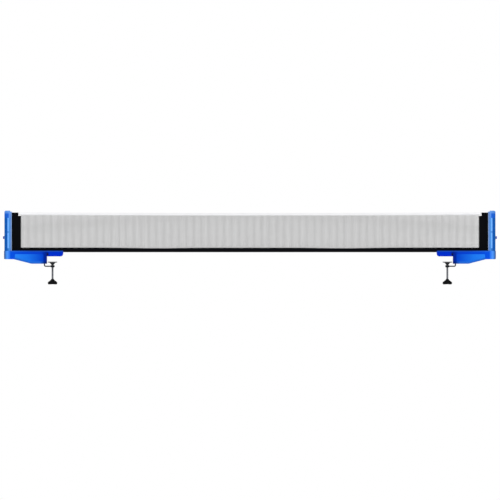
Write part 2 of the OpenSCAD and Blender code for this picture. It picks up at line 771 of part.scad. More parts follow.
// Corner of the mesh: column and row counted in gaps, moved by half a strand either way
function knot(col, row, dx, dz) =
    let (x = sleeve_in_x * (2 * col / mesh_cols - 1) + dx * strand_w / 2,
         full = tape_low_z - sag(x) - band_top_z)
    [x, band_top_z + full * row / mesh_rows + dz * strand_w / 2];

module net_mesh() {
    reach = sleeve_in_x + 11;
    low = net_low_z + cloth_t + 2.9;
    high = cord_channel_z - 0.3;
    rim = concat([[-reach, low], [reach, low]], reversed(hung(reach, high)));
    gaps = [for (c = [0:mesh_cols - 1], r = [0:mesh_rows - 1])
        [knot(c, r, 1, 1), knot(c + 1, r, -1, 1), knot(c + 1, r + 1, -1, -1),
         knot(c, r + 1, 1, -1)]];
    points = concat(rim, [for (g = gaps) each g]);
    paths = concat([[for (i = [0:len(rim) - 1]) i]],
                   [for (g = [0:len(gaps) - 1]) [for (k = [0:3]) len(rim) + 4 * g + k]]);
    color("#181a1f")
        translate([0, mesh_t / 2, 0]) rotate([90, 0, 0])
            linear_extrude(mesh_t) polygon(points = points, paths = paths);
}

module top_tape() {
    reach = ear_x - 0.2;
    inner = tape_t / 2 - cloth_t;
    color("#f4f4f2")
        difference() {
            along_y(-tape_t / 2, tape_t / 2,
                    concat(hung(reach, tape_low_z), reversed(hung(reach, net_top_z))));
            along_y(-inner, inner,
                    concat(hung(reach + 1, tape_low_z - 1),
                           reversed(hung(reach + 1, net_top_z - cloth_t))));
        }
}

module bottom_band() {
    reach = sleeve_in_x - 0.2;
    inner = band_t / 2 - cloth_t;
    color("#121317")
        difference() {
            block(-reach, reach, -band_t / 2, band_t / 2, net_low_z, band_top_z);
            block(-reach - 1, reach + 1, -inner, inner, net_low_z + cloth_t, band_top_z + 1);
        }
}

module bottom_cord() {
    d = band_t - 2 * cloth_t - 0.2;
    color("#25262b")
        rod_x_way(d, -sleeve_in_x + 1, sleeve_in_x - 1, net_low_z + cloth_t + d / 2 + 0.1);
}

// The sleeve's section: cloth folded round the rod, with the mesh's edge between its two layers
module sleeve_section(x0) {
    mesh_room = mesh_t / 2 + 0.25;
    difference() {
        union() {
            translate([rod_x, 0]) circle(d = tunnel_d);
            translate([x0, -mesh_room - cloth_t])
                square([rod_x - x0, 2 * (mesh_room + cloth_t)]);
        }
        translate([rod_x, 0]) circle(d = rod_d + 0.6);
        translate([x0 - 1, -mesh_room]) square([rod_x - x0 + 1, 2 * mesh_room]);
    }
}

module sleeve()
    color("#0b0c10")
        difference() {
            union() {
                translate([0, 0, net_low_z])
                    linear_extrude(sleeve_step_z - net_low_z) sleeve_section(sleeve_in_x);
                translate([0, 0, sleeve_step_z - eps])
                    linear_extrude(net_top_z - sleeve_step_z + eps) sleeve_section(ear_x);
            }
            block(ear_x - 1, sleeve_out_x + 1, -cord_d / 2 - 0.2, cord_d / 2 + 0.2,
                  cord_channel_z, net_top_z + 1);
        }

// The cord in the top tape: rings of eight points joined into one tube that swells to a knot
// at each end. A ring is [x, z, radius].
module top_cord() {
    thin = cord_d / 2;
    knot_end = [[knot_d / 2, thin], [knot_d / 4, knot_d / 2], [-knot_d / 4, knot_d / 2],
                [-knot_d / 2, thin]];
    line = concat(
        [for (k = knot_end) [-knot_x - k[0], cord_z, k[1]]],
        [for (p = hung(ear_x, cord_z)) [p.x, p.y, thin]],
        reversed([for (k = knot_end) [knot_x + k[0], cord_z, k[1]]])
    );
    sides = 8;
    rings = len(line);
    ring_points = [for (p = line, k = [0:sides - 1])
        [p.x, p.z * cos(360 * k / sides), p.y + p.z * sin(360 * k / sides)]];
    walls = [for (i = [0:rings - 2], k = [0:sides - 1])
        let (a = i * sides + k, b = i * sides + (k + 1) % sides)
        each [[a, b + sides, b], [a, a + sides, b + sides]]];
    last = (rings - 1) * sides;
    ends = [for (k = [1:sides - 2]) each [[0, k, k + 1], [last, last + k + 1, last + k]]];
    color("#dddddb") polyhedron(points = ring_points, faces = concat(walls, ends));
}

left() arm_front_shell();  // left_arm_front_shell
left() arm_rear_shell();  // left_arm_rear_shell
left() clamp_frame();  // left_clamp_frame
left() jaw_pad();  // left_jaw_pad
left() tongue_screws();  // left_tongue_screws
left() shell_screws();  // left_shell_screws
left() clamp_nut();  // left_clamp_nut
left() clamp_screw();  // left_clamp_screw
left() wing_grip();  // left_wing_grip
left() pad_hub();  // left_pad_hub
left() pad_plate();  // left_pad_plate
left() pad_facing();  // left_pad_facing
left() post();  // left_post
left() post_cap();  // left_post_cap
left() post_foot();  // left_post_foot
left() post_trim();  // left_post_trim
left() post_screw();  // left_post_screw
left() net_slider();  // left_net_slider
left() side_rod();  // left_side_rod
left() height_screw();  // left_height_screw
left() height_washer();  // left_height_washer
left() sleeve();  // left_sleeve
right() arm_front_shell();  // right_arm_front_shell
right() arm_rear_shell();  // right_arm_rear_shell
right() clamp_frame();  // right_clamp_frame
right() jaw_pad();  // right_jaw_pad
right() tongue_screws();  // right_tongue_screws
right() shell_screws();  // right_shell_screws
right() clamp_nut();  // right_clamp_nut
right() clamp_screw();  // right_clamp_screw
right() wing_grip();  // right_wing_grip
right() pad_hub();  // right_pad_hub
right() pad_plate();  // right_pad_plate
right() pad_facing();  // right_pad_facing
right() post();  // right_post
right() post_cap();  // right_post_cap
right() post_foot();  // right_post_foot
right() post_trim();  // right_post_trim
right() post_screw();  // right_post_screw
right() net_slider();  // right_net_slider
right() side_rod();  // right_side_rod
right() height_screw();  // right_height_screw
right() height_washer();  // right_height_washer
right() sleeve();  // right_sleeve
net_mesh();
top_tape();
bottom_band();
top_cord();
bottom_cord();
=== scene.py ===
"""Looks of a table tennis net set: a net strung between two posts on screw clamps.

Lengths in this file are millimetres unless a name ends in _M, and become metres as a mesh is made.
X runs along the net, Y across it and Z up, from the middle of the net on the table's surface.
Pieces of a clamp are drawn for the right-hand end and mirrored for the left-hand one.
"""

import json
import math
import random

import bmesh
import bpy
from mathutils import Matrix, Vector
from mathutils.bvhtree import BVHTree

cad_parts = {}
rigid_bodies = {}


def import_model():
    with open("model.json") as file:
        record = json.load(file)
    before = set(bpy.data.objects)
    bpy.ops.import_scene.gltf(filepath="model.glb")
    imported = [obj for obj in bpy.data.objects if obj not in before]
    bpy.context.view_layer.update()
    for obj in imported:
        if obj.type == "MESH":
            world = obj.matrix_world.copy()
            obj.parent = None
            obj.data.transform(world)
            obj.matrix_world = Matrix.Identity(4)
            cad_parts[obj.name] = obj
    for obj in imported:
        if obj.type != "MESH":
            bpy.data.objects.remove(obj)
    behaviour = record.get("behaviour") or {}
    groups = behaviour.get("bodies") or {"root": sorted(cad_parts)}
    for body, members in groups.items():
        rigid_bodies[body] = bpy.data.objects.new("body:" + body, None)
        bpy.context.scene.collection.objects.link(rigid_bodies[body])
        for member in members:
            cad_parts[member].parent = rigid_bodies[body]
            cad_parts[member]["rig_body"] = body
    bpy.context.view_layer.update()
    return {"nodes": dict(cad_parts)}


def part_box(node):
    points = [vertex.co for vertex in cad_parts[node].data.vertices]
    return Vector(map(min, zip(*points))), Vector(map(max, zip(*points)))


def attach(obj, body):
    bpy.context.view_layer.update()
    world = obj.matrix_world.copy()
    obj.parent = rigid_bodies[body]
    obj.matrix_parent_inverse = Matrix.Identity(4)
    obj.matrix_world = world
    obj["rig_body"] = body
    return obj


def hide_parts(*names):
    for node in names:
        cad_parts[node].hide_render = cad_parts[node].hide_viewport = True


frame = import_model()
nodes = frame["nodes"]

MM = 0.001
SIDES = {"right": 1, "left": -1}
rng = random.Random(11)


class Cad:
    """The box of a CAD node, in millimetres."""

    def __init__(self, node):
        low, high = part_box(node)
        (self.x0, self.y0, self.z0), (self.x1, self.y1, self.z1) = low / MM, high / MM
        self.x, self.z = (self.x0 + self.x1) / 2, (self.z0 + self.z1) / 2


ARM = Cad("right_arm_front_shell")
POST, FOOT, CAP = Cad("right_post"), Cad("right_post_foot"), Cad("right_post_cap")
SCREW, NUT = Cad("right_clamp_screw"), Cad("right_clamp_nut")
HUB, PLATE, FACING = Cad("right_pad_hub"), Cad("right_pad_plate"), Cad("right_pad_facing")
JAW_PAD = Cad("right_jaw_pad")
CASE_SCREWS, NOSE_SCREWS = Cad("right_shell_screws"), Cad("right_tongue_screws")
FOOT_SCREW, TRIM = Cad("right_post_screw"), Cad("right_post_trim")
THUMB, WASHER = Cad("right_height_screw"), Cad("right_height_washer")
SLEEVE, ROD = Cad("right_sleeve"), Cad("right_side_rod")
BAND, TAPE = Cad("bottom_band"), Cad("top_tape")
TOP_CORD, BOTTOM_CORD = Cad("top_cord"), Cad("bottom_cord")
FLOOR_Z = Cad("right_wing_grip").z0

# Sizes of the CAD source that no box shows
STRIP_T = 4.5
NET_SAG = 2.5
EAR_DROP = 3.7
CORD_D, KNOT_D = 2.5, 5.2
CASE_HEAD_R, CASE_HEAD_H, CASE_HEAD_Y = 3.0, 2.0, 19.4
NOSE_HEAD_H, FOOT_HEAD_H = 1.8, 3.2
CLAMP_PITCH, THUMB_PITCH, M5_D = 1.25, 0.8, 5.0
MIDDLE_CASE_SCREW = (831.5, -15.0)
# Where the arm's underside begins to rise towards the post, and how steeply
SLOPE_X, SLOPE = 821.5, 0.256

# The sleeve is narrower from STEP_Z up, where it leaves room for the tape's end
EAR_GAP = 0.2
EAR_X = TAPE.x1 + EAR_GAP
TAPE_LOW_Z = TAPE.z0 + NET_SAG
STEP_Z = TAPE_LOW_Z - EAR_DROP
CORD_Z = TOP_CORD.z1 - KNOT_D / 2
KNOT_X = TOP_CORD.x1 - KNOT_D / 2


def sag(x):
    """How far the net's top edge hangs down at x."""
    return NET_SAG * max(0.0, 1 - (x / EAR_X) ** 2)


# ---- Finishes ----

def srgb(r, g, b):
    """A colour given as it shows on a screen, 0 to 255."""
    return tuple((c / 255 / 12.92) if c < 10.3 else ((c / 255 + 0.055) / 1.055) ** 2.4
                 for c in (r, g, b)) + (1.0,)


class Finish:
    """A Principled material whose colour, roughness and bump come from nodes."""

    def __init__(self, name, **constants):
        self.material = bpy.data.materials.new(name)
        self.material.use_nodes = True
        self.tree = self.material.node_tree
        self.shader = next(n for n in self.tree.nodes if n.type == "BSDF_PRINCIPLED")
        for socket, value in constants.items():
            self.shader.inputs[socket.replace("_", " ")].default_value = value
        self.place = self.node("TexCoord").outputs["Object"]
        split = self.node("SeparateXYZ", self.place)
        self.x, self.y, self.z = split.outputs
        self.normal = None

    def node(self, kind, *values, **settings):
        """A shader node; values fill its inputs in order, None leaves one alone."""
        made = self.tree.nodes.new("ShaderNode" + kind)
        for name, value in settings.items():
            setattr(made, name, value)
        for socket, value in zip(made.inputs, values):
            if isinstance(value, bpy.types.NodeSocket):
                self.tree.links.new(value, socket)
            elif value is not None:
                socket.default_value = value
        return made

    def math(self, operation, a, b=None):
        return self.node("Math", a, b, operation=operation).outputs[0]

    def noise(self, size_mm, detail=3.0, stretch=(1, 1, 1)):
        """Noise from 0 to 1 with patches of about size_mm."""
        mapped = self.node("Mapping", self.place).outputs[0]
        mapped.node.inputs["Scale"].default_value = stretch
        made = self.node("TexNoise", mapped)
        made.inputs["Scale"].default_value = 1 / (size_mm * MM)
        made.inputs["Detail"].default_value = detail
        return made.outputs[0]

    def wave(self, coordinate, period_mm):
        """A sine from -1 to 1 along a coordinate."""
        return self.math("SINE", self.math("MULTIPLY", coordinate,
                                           2 * math.pi / (period_mm * MM)))

    def span(self, value, low, high):
        """value from low..high to 0..1, clamped."""
        made = self.node("MapRange", value, low, high, 0.0, 1.0)
        return made.outputs[0]

    def ramp(self, value, *stops):
        """stops are (position, colour)."""
        made = self.node("ValToRGB", value)
        bar = made.color_ramp.elements
        while len(bar) < len(stops):
            bar.new(0.5)
        for element, (position, colour) in zip(bar, stops):
            element.position = position
            element.color = colour
        return made.outputs[0]

    def mix(self, amount, a, b, blend="MIX"):
        made = self.node("MixRGB", amount, a, b, blend_type=blend)
        return made.outputs[0]

    def colour(self, value, shade_by=None, shade=0.0):
        """Sets the base colour, darkened by up to shade where shade_by is 0."""
        if shade_by is not None:
            grey = self.ramp(shade_by, (0.25, (1 - shade,) * 3 + (1.0,)),
                             (0.75, (1.0,) * 3 + (1.0,)))
            value = self.mix(1.0, value, grey, "MULTIPLY")
        self.tree.links.new(value, self.shader.inputs["Base Color"])

    def roughness(self, value, low, high):
        made = self.node("MapRange", value, 0.3, 0.7, low, high)
        self.tree.links.new(made.outputs[0], self.shader.inputs["Roughness"])

    def bump(self, height, depth_mm, strength=1.0):
        made = self.node("Bump")
        made.inputs["Strength"].default_value = strength
        made.inputs["Distance"].default_value = depth_mm * MM
        self.tree.links.new(height, made.inputs["Height"])
        if self.normal is not None:
            self.tree.links.new(self.normal, made.inputs["Normal"])
        self.normal = made.outputs[0]
        self.tree.links.new(self.normal, self.shader.inputs["Normal"])


# Blue surfaces have a sheen of their own colour, and dull black ones have hardly any
BLUE_SHEEN = srgb(20, 110, 255)
BLUE_GLOSS = {"Specular_IOR_Level": 0.2, "Specular_Tint": BLUE_SHEEN}
DULL = {"Specular_IOR_Level": 0.05}


def far_out(finish, low_mm, high_mm):
    """The distance from the net's middle along X, from 0 at low_mm to 1 at high_mm."""
    return finish.span(finish.math("ABSOLUTE", finish.x), low_mm * MM, high_mm * MM)


def moulded(name, colour, rough=(0.34, 0.44), grain_mm=0.5, depth_mm=0.012, gloss=BLUE_GLOSS):
    """Moulded plastic: fine spark-eroded grain, faint flow marks, slightly uneven gloss."""
    f = Finish(name, **gloss)
    flow = f.noise(22, 2.0, (1, 1, 2.5))
    f.colour(colour(f), flow, 0.07)
    f.roughness(f.noise(3.5), *rough)
    f.bump(f.noise(grain_mm, 2.0), depth_mm)
    f.bump(flow, 0.05, 0.5)
    return f.material


def across(f, box, *stops):
    """Colours along X: stops are (place, red, green, blue), from a piece's inner end, 0, to its
    outer end, 1."""
    return f.ramp(far_out(f, box.x0, box.x1),
                  *[(place, srgb(*colour)) for place, *colour in stops])


def above(f, low_mm, high_mm):
    """The height, from 0 at low_mm to 1 at high_mm."""
    return f.span(f.z, low_mm * MM, high_mm * MM)


def arm_colour_with_painted_light(f):
    """Blue with painted light and shade in it: a painted highlight that grows towards the post,
    most of all on the raised panel, and painted shade in the corner below the tongue."""
    # Painted shade at the body's inner end next to the tongue, and painted light growing towards
    # the post
    base = across(f, ARM, (0.0, 2, 44, 194), (0.253, 2, 45, 196), (0.3, 1, 29, 141),
                  (0.35, 2, 36, 148), (0.42, 9, 59, 195), (1.0, 7, 78, 216))
    # Painted highlight along the top edge
    top = across(f, ARM, (0.6, 26, 71, 173), (1.0, 34, 94, 208))
    base = f.mix(above(f, ARM.z1 - 5.5, ARM.z1 - 3.0), base, top)
    # Painted highlight on the raised panel, which stands furthest out, lighter towards the post
    panel = across(f, ARM, (0.373, 4, 61, 198), (0.7, 28, 115, 231), (0.915, 38, 127, 240))
    panel_y = -ARM.y0
    proud = f.span(f.math("ABSOLUTE", f.y), (panel_y - 0.8) * MM, (panel_y - 0.4) * MM)
    base = f.mix(proud, base, panel)
    # Painted shade and light along the lower edge, which is level first and then rises towards the
    # post, and ends before the neck: dark at the body's inner end, lighter along the body
    lower_edge_shading = across(f, ARM, (0.35, 0, 26, 112), (0.44, 40, 106, 207), (0.9, 30, 104, 205))
    rise = f.math("MULTIPLY", far_out(f, SLOPE_X, ARM.x1), (ARM.x1 - SLOPE_X) * SLOPE * MM)
    low_down = f.span(f.math("SUBTRACT", f.z, rise), (ARM.z0 + 11) * MM, (ARM.z0 + 5) * MM)
    not_neck = far_out(f, FOOT.x0 - 12, FOOT.x0 - 20)
    return f.mix(f.math("MULTIPLY", low_down, not_neck), base, lower_edge_shading)


# Painted light and shade across the post: a painted highlight on its inner side by the net, and
# painted shade towards its outer rounded edge, a little paler again at the very edge
def post_colour_with_painted_light(f):
    return across(f, POST, (0.0, 80, 150, 226), (0.66, 12, 80, 166), (1.0, 28, 90, 160))


# Painted light and shade across the cap: a painted highlight on its inner side and on its rounded
# top, and painted shade towards its outer side
def cap_colour_with_painted_light(f):
    sides = across(f, CAP, (0.0, 112, 164, 238), (0.36, 34, 98, 206), (1.0, 20, 84, 184))
    roof_highlight = across(f, CAP, (0.0, 104, 156, 230), (1.0, 84, 136, 210))
    return f.mix(above(f, CAP.z1 - 13.1, CAP.z1 - 5.6), sides, roof_highlight)


# Painted light and shade across the rounded foot: darker at its inner side, a painted highlight in
# the middle and painted shade at its outer side
def foot_colour_with_painted_light(f):
    return across(f, FOOT, (0.0, 20, 100, 228), (0.5, 80, 150, 246), (1.0, 26, 62, 118))


def plain(dark, light):
    """One colour, with slight mottling between the two given."""
    def colour(f):
        return f.ramp(f.noise(9, 2.0), (0.3, srgb(*dark)), (0.7, srgb(*light)))
    return colour


def painted(name, colour):
    """Stoved paint on steel: orange peel, and a few paler rubbed spots."""
    f = Finish(name, Specular_IOR_Level=0.06, Specular_Tint=BLUE_SHEEN)
    f.colour(colour(f), f.noise(30, 2.0, (1, 1, 0.4)), 0.06)
    f.roughness(f.noise(6), 0.26, 0.38)
    f.bump(f.noise(1.1, 1.0), 0.02, 0.6)
    return f.material


def metal(name, dark, light, rough, brushed=(1, 1, 1)):
    """Plated or rolled steel. brushed is the stretch of its fine lines."""
    f = Finish(name, Metallic=1.0)
    lines = f.noise(0.5, 3.0, brushed)
    patches = f.noise(7, 4.0)
    f.colour(f.mix(0.5, f.ramp(lines, (0.35, dark), (0.65, light)),
                   f.ramp(patches, (0.35, dark), (0.7, light))))
    f.roughness(patches, *rough)
    f.bump(lines, 0.01, 0.6)
    return f.material


def rubber(name, dark, light):
    """Matt and speckled."""
    f = Finish(name, **DULL)
    speckle = f.noise(0.9, 4.0)
    f.colour(f.ramp(speckle, (0.35, dark), (0.65, light)), f.noise(12), 0.15)
    f.roughness(f.noise(4), 0.7, 0.9)
    f.bump(speckle, 0.06)
    return f.material


def cloth(name, dark, light, yarn_mm, rough=0.85, depth_mm=0.09):
    """Plain weave in the plane of X and Z, with slubs and faint creases."""
    f = Finish(name, Roughness=rough, **DULL)
    weave = f.math("MULTIPLY", f.wave(f.x, 2 * yarn_mm), f.wave(f.z, 2 * yarn_mm))
    weave = f.math("MULTIPLY_ADD", weave, 0.5)
    weave.node.inputs[2].default_value = 0.5
    slub = f.noise(yarn_mm * 2, 2.0, (0.2, 1, 1))
    f.colour(f.mix(0.35, f.ramp(weave, (0.0, dark), (1.0, light)),
                   f.ramp(slub, (0.3, dark), (0.7, light))), f.noise(40), 0.06)
    f.bump(weave, depth_mm, 0.8)
    f.bump(f.noise(18, 2.0, (1, 1, 0.5)), 0.5, 0.5)
    return f.material


def twisted(name, dark, light, lay_mm, depth_mm=0.12):
    """Twisted or braided cord: slanting strands along its length."""
    f = Finish(name, Roughness=0.75, **DULL)
    slant = f.math("ADD", f.math("ADD", f.x, f.z), f.math("MULTIPLY", f.y, 1.7))
    cross = f.math("SUBTRACT", f.math("SUBTRACT", f.x, f.z), f.math("MULTIPLY", f.y, 1.7))
    strands = f.math("MAXIMUM", f.wave(slant, lay_mm), f.wave(cross, lay_mm))
    fuzz = f.noise(0.4, 3.0)
    f.colour(f.mix(0.4, f.ramp(f.span(strands, -0.5, 1.0), (0.0, dark), (1.0, light)),
                   f.ramp(fuzz, (0.3, dark), (0.7, light))))
    f.bump(strands, depth_mm, 0.7)
    f.bump(fuzz, 0.05, 0.5)
    return f.material


BLACK_MOULDING = {"rough": (0.42, 0.55), "grain_mm": 0.7, "depth_mm": 0.03, "gloss": DULL}
FINISH = {
    "arm": moulded("arm_blue_with_painted_light", arm_colour_with_painted_light),
    "post": painted("post_blue_with_painted_light", post_colour_with_painted_light),
    "cap": moulded("cap_blue_with_painted_light", cap_colour_with_painted_light),
    "foot": moulded("foot_blue_with_painted_light", foot_colour_with_painted_light),
    # The trim's light blue is a painted highlight along the post's front
    "trim": moulded("trim_blue_painted_highlight", plain((108, 172, 252), (118, 182, 255)), (0.25, 0.35)),
    "slider": moulded("slider_pale_blue", plain((124, 166, 228), (136, 176, 236))),
    "thumb": moulded("thumb_deep_blue", plain((16, 56, 170), (22, 66, 186))),
    "black_plastic": moulded("black_plastic", plain((6, 6, 8), (12, 12, 14)), **BLACK_MOULDING),
    # The hub is the grip's black plastic painted lighter: painted light where it sits in the shade
    # of the dished plate
    "hub": moulded("hub_black_plastic_painted_lighter", plain((46, 47, 49), (58, 59, 61)), **BLACK_MOULDING),
    "frame": metal("black_steel_strip", srgb(24, 25, 28), srgb(40, 41, 45), (0.38, 0.55),
                   (0.15, 1, 1)),
    "screw": metal("screw_steel", srgb(118, 120, 124), srgb(160, 162, 166), (0.28, 0.42)),
    "nut": metal("nut_steel", srgb(60, 61, 64), srgb(76, 77, 81), (0.42, 0.6)),
    "washer": metal("washer_steel", srgb(140, 142, 146), srgb(176, 178, 182), (0.25, 0.4)),
    "rod": metal("rod_steel", srgb(140, 142, 146), srgb(170, 172, 176), (0.25, 0.35),
                 (1, 1, 0.1)),
    "dark_screw": metal("blackened_steel", srgb(24, 26, 31), srgb(38, 40, 46), (0.4, 0.55)),
    "plate": metal("pressed_plate", srgb(104, 105, 108), srgb(120, 121, 124), (0.4, 0.55)),
    "rubber": rubber("black_rubber", srgb(16, 17, 19), srgb(30, 31, 34)),
    "facing": rubber("grey_facing", srgb(86, 87, 89), srgb(102, 103, 105)),
    "black_cloth": cloth("black_cloth", srgb(4, 4, 7), srgb(9, 10, 14), 0.45),
    "tape": cloth("white_tape", srgb(230, 231, 233), srgb(247, 247, 248), 0.4, 0.7, 0.05),
    "black_thread": twisted("black_thread", srgb(6, 6, 9), srgb(16, 17, 22), 0.6, 0.05),
    "white_thread": twisted("white_thread", srgb(206, 208, 212), srgb(240, 241, 243), 0.6, 0.05),
    "net": twisted("net_thread", srgb(10, 11, 15), srgb(26, 28, 34), 1.0, 0.1),
    "cord": twisted("white_cord", srgb(200, 200, 198), srgb(242, 242, 240), 1.6),
    "dark_cord": twisted("dark_cord", srgb(24, 25, 30), srgb(48, 50, 58), 1.6),
}


# ---- Meshes ----

class Soup:
    """Points and faces of one piece, in millimetres, made of one or more closed forms."""

    def __init__(self):
        self.points, self.faces = [], []

    def add(self, points, faces):
        first = len(self.points)
        self.points += [tuple(p) for p in points]
        self.faces += [tuple(i + first for i in face) for face in faces]
        return self


def placed(name, data):
    """An object in the scene with this mesh, light or camera."""
    made = bpy.data.objects.new(name, data)
    bpy.context.scene.collection.objects.link(made)
    return made


def piece(name, soup, finish, side=1, sharp=40):
    """An object from a soup, mirrored for side -1. Edges sharper than sharp degrees stay crisp."""
    points = [(side * p[0] * MM, p[1] * MM, p[2] * MM) for p in soup.points]
    faces = soup.faces if side > 0 else [face[::-1] for face in soup.faces]
    mesh = bpy.data.meshes.new(name)
    mesh.from_pydata(points, [], faces)
    mesh.materials.append(FINISH[finish])
    made = placed(name, mesh)
    smooth(made, sharp)
    return made


def smooth(made, sharp):
    """Smooth shading, with edges sharper than sharp degrees left crisp."""
    made.data.shade_smooth()
    made.data.set_sharp_from_angle(angle=math.radians(sharp))


def stands_for(made, node, slot, *more):
    """The piece rides on the node's body and is shown instead of it, and of more nodes."""
    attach(made, nodes[node]["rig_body"])
    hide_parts(node, *more)
    return made


def closed(rows, steps):
    """The faces of a form whose points are rings of steps points each, with both ends shut."""
    faces = []
    for row in range(rows - 1):
        for k in range(steps):
            a, b = row * steps + k, row * steps + (k + 1) % steps
            faces.append((a, b, b + steps, a + steps))
    faces.append(tuple(range(steps - 1, -1, -1)))
    faces.append(tuple((rows - 1) * steps + k for k in range(steps)))
    return faces


def tube(path, radii, sides):
    """A closed tube along a path, with one radius or a radius for each of its points."""
    path = [Vector(p) for p in path]
    if not hasattr(radii, "__len__"):
        radii = [radii] * len(path)
    points = []
    level = None
    for i, (p, r) in enumerate(zip(path, radii)):
        ahead = (path[min(i + 1, len(path) - 1)] - path[max(i - 1, 0)]).normalized()
        if level is None:
            level = Vector((0, 1, 0)) if abs(ahead.y) < 0.9 else Vector((1, 0, 0))
        level = (level - ahead * level.dot(ahead)).normalized()
        up = ahead.cross(level)
        for k in range(sides):
            a = 2 * math.pi * k / sides
            points.append(p + level * (r * math.cos(a)) + up * (r * math.sin(a)))
    return points, closed(len(path), sides)


# Points of a turned form from its radius, angle and height, by the axis that it turns about
AXES = {
    "z": lambda r, a, h: (r * math.cos(a), r * math.sin(a), h),
    "x": lambda r, a, h: (h, r * math.cos(a), r * math.sin(a)),
    "y": lambda r, a, h: (r * math.sin(a), h, r * math.cos(a)),
}


def turned(profile, centre, steps, axis="z", wobble=None):
    """A turned form from (radius, height) points, lowest first, closed at both ends.
    wobble(row, angle) adds to the radius."""
    place = AXES[axis]
    points = []
    for row, (r, h) in enumerate(profile):
        for k in range(steps):
            a = 2 * math.pi * k / steps
            extra = wobble(row, a) if wobble else 0.0
            points.append([c + d for c, d in zip(centre, place(r + extra, a, h))])
    return points, closed(len(profile), steps)


def ringed(profile, centre, axis="z", steps=48):
    """A turned form with a bore: the profile is a closed loop of (radius, height)."""
    place = AXES[axis]
    rows = len(profile)
    points = [[c + d for c, d in zip(centre, place(r, 2 * math.pi * k / steps, h))]
              for r, h in profile for k in range(steps)]
    faces = []
    for row in range(rows):
        for k in range(steps):
            a, b = row * steps + k, row * steps + (k + 1) % steps
            c = ((row + 1) % rows) * steps
            faces.append((a, b, c + (k + 1) % steps, c + k))
    return points, faces


def threaded(radius, pitch, low, high, centre, axis="z", handed=1, steps=32):
    """A rod with a V thread and chamfered ends. handed 1 is a right-hand thread."""
    place = AXES[axis]
    depth, rows_a_turn = 0.6 * pitch, 6
    rows = max(2, round((high - low) / pitch * rows_a_turn))
    points = []
    for row in range(rows + 1):
        h = low + (high - low) * row / rows
        chamfer = max(0.0, depth * 1.1 - min(h - low, high - h))
        for k in range(steps):
            a = 2 * math.pi * k / steps
            phase = (h / pitch - handed * k / steps) % 1.0
            r = min(radius - depth * abs(2 * phase - 1), radius - chamfer)
            points.append([c + d for c, d in zip(centre, place(r, a, h))])
    return points, closed(rows + 1, steps)


def folded(section, xs, wander, drop=lambda x: 0.0):
    """A folded strip: a section of (y, z) drawn along X, which wander moves to and fro and drop
    lowers."""
    points, faces = [], []
    for x in xs:
        w = wander * (math.sin(x / 61.0) + 0.6 * math.sin(x / 23.0 + 2.0))
        points += [(x, y + w, z - drop(x)) for y, z in section]
    n = len(section)
    for i in range(len(xs) - 1):
        for k in range(n - 1):
            a = i * n + k
            faces.append((a, a + 1, a + 1 + n, a + n))
    return points, faces


CLOTH_T = 0.7
STITCH_LENGTH, STITCH_GAP, STITCH_R = 2.8, 1.2, 0.26


def thicken(made):
    """Gives a sheet the thickness of cloth, half to either side."""
    modifier = made.modifiers.new("thickness", "SOLIDIFY")
    modifier.thickness = CLOTH_T * MM
    modifier.offset = 0.0
    bake(made)


def bake(made):
    """Applies a piece's modifiers."""
    graph = bpy.context.evaluated_depsgraph_get()
    mesh = bpy.data.meshes.new_from_object(made.evaluated_get(graph))
    made.modifiers.clear()
    made.data = mesh


def stitches(rows, drop=lambda x: 0.0):
    """Short raised stitches along each row of (start, end, outward), which are points; drop
    lowers them."""
    soup = Soup()
    for start, end, outward in rows:
        start, end, outward = Vector(start), Vector(end), Vector(outward)
        way = end - start
        count = max(1, round(way.length / (STITCH_LENGTH + STITCH_GAP)))
        pitch = way.length / count
        way.normalize()
        sunk, raised, bend = outward * 0.3, outward * STITCH_R * 0.8, way * 0.35
        for i in range(count):
            a = start + way * (i * pitch + STITCH_GAP / 2)
            b = a + way * (pitch - STITCH_GAP)
            a.z -= drop(a.x)
            b.z -= drop(b.x)
            path = [a - sunk, a + bend + raised, b - bend + raised, b - sunk]
            soup.add(*tube(path, STITCH_R, 5))
    return soup


def cross_recess(made, centre, outward, size, depth):
    """Cuts a cross recess into a screw head; outward points out of the head."""
    centre, outward = Vector(centre), Vector(outward)
    along = Vector((1, 0, 0)) if abs(outward.x) < 0.5 else Vector((0, 1, 0))
    other = outward.cross(along)
    cutter = Soup()
    # How far out, half as long and half as wide the cross is at its mouth and at its bottom
    mouth, bottom = (0.5, size / 2, size / 7), (-depth, size / 5, size / 9)
    for u, v in ((along, other), (other, along)):
        ring = []
        for out, reach, half in (mouth, bottom):
            for su, sv in ((-1, -1), (1, -1), (1, 1), (-1, 1)):
                ring.append(centre + outward * out + u * (su * reach) + v * (sv * half))
        if u.cross(v).dot(outward) < 0:
            ring = [ring[i] for i in (1, 0, 3, 2, 5, 4, 7, 6)]
        cutter.add(ring, [(0, 1, 2, 3), (7, 6, 5, 4), (0, 4, 5, 1), (1, 5, 6, 2),
                          (2, 6, 7, 3), (3, 7, 4, 0)])
    tool = piece(made.name + "_cutter", cutter, "dark_screw")
    modifier = made.modifiers.new("recess", "BOOLEAN")
    modifier.operation = "DIFFERENCE"
    modifier.solver = "EXACT"
    modifier.use_self = True
    modifier.object = tool
    bake(made)
    bpy.data.objects.remove(tool)
    made.data.materials.clear()
    return made


def parted(bm, cuts):
    """Leaves each flat face whole but for straight cuts, given as (axis, place), so that no face
    runs round a hole."""
    def merge(limits):
        bmesh.ops.dissolve_limit(bm, angle_limit=math.radians(1.0), verts=bm.verts,
                                 edges=bm.edges, delimit=limits)

    merge(set())
    for axis, place in cuts:
        at, along = Vector(), Vector()
        at["xyz".index(axis)], along["xyz".index(axis)] = place * MM, 1.0
        made = bmesh.ops.bisect_plane(bm, geom=bm.verts[:] + bm.edges[:] + bm.faces[:],
                                      plane_co=at, plane_no=along)["geom_cut"]
        for edge in made:
            if isinstance(edge, bmesh.types.BMEdge):
                edge.seam = True
    merge({"SEAM"})


WELD_M, CLEAR_M = 2e-6, 2e-5
SHORTEST_EDGE_M, SHARP_EDGE = 0.00012, 28


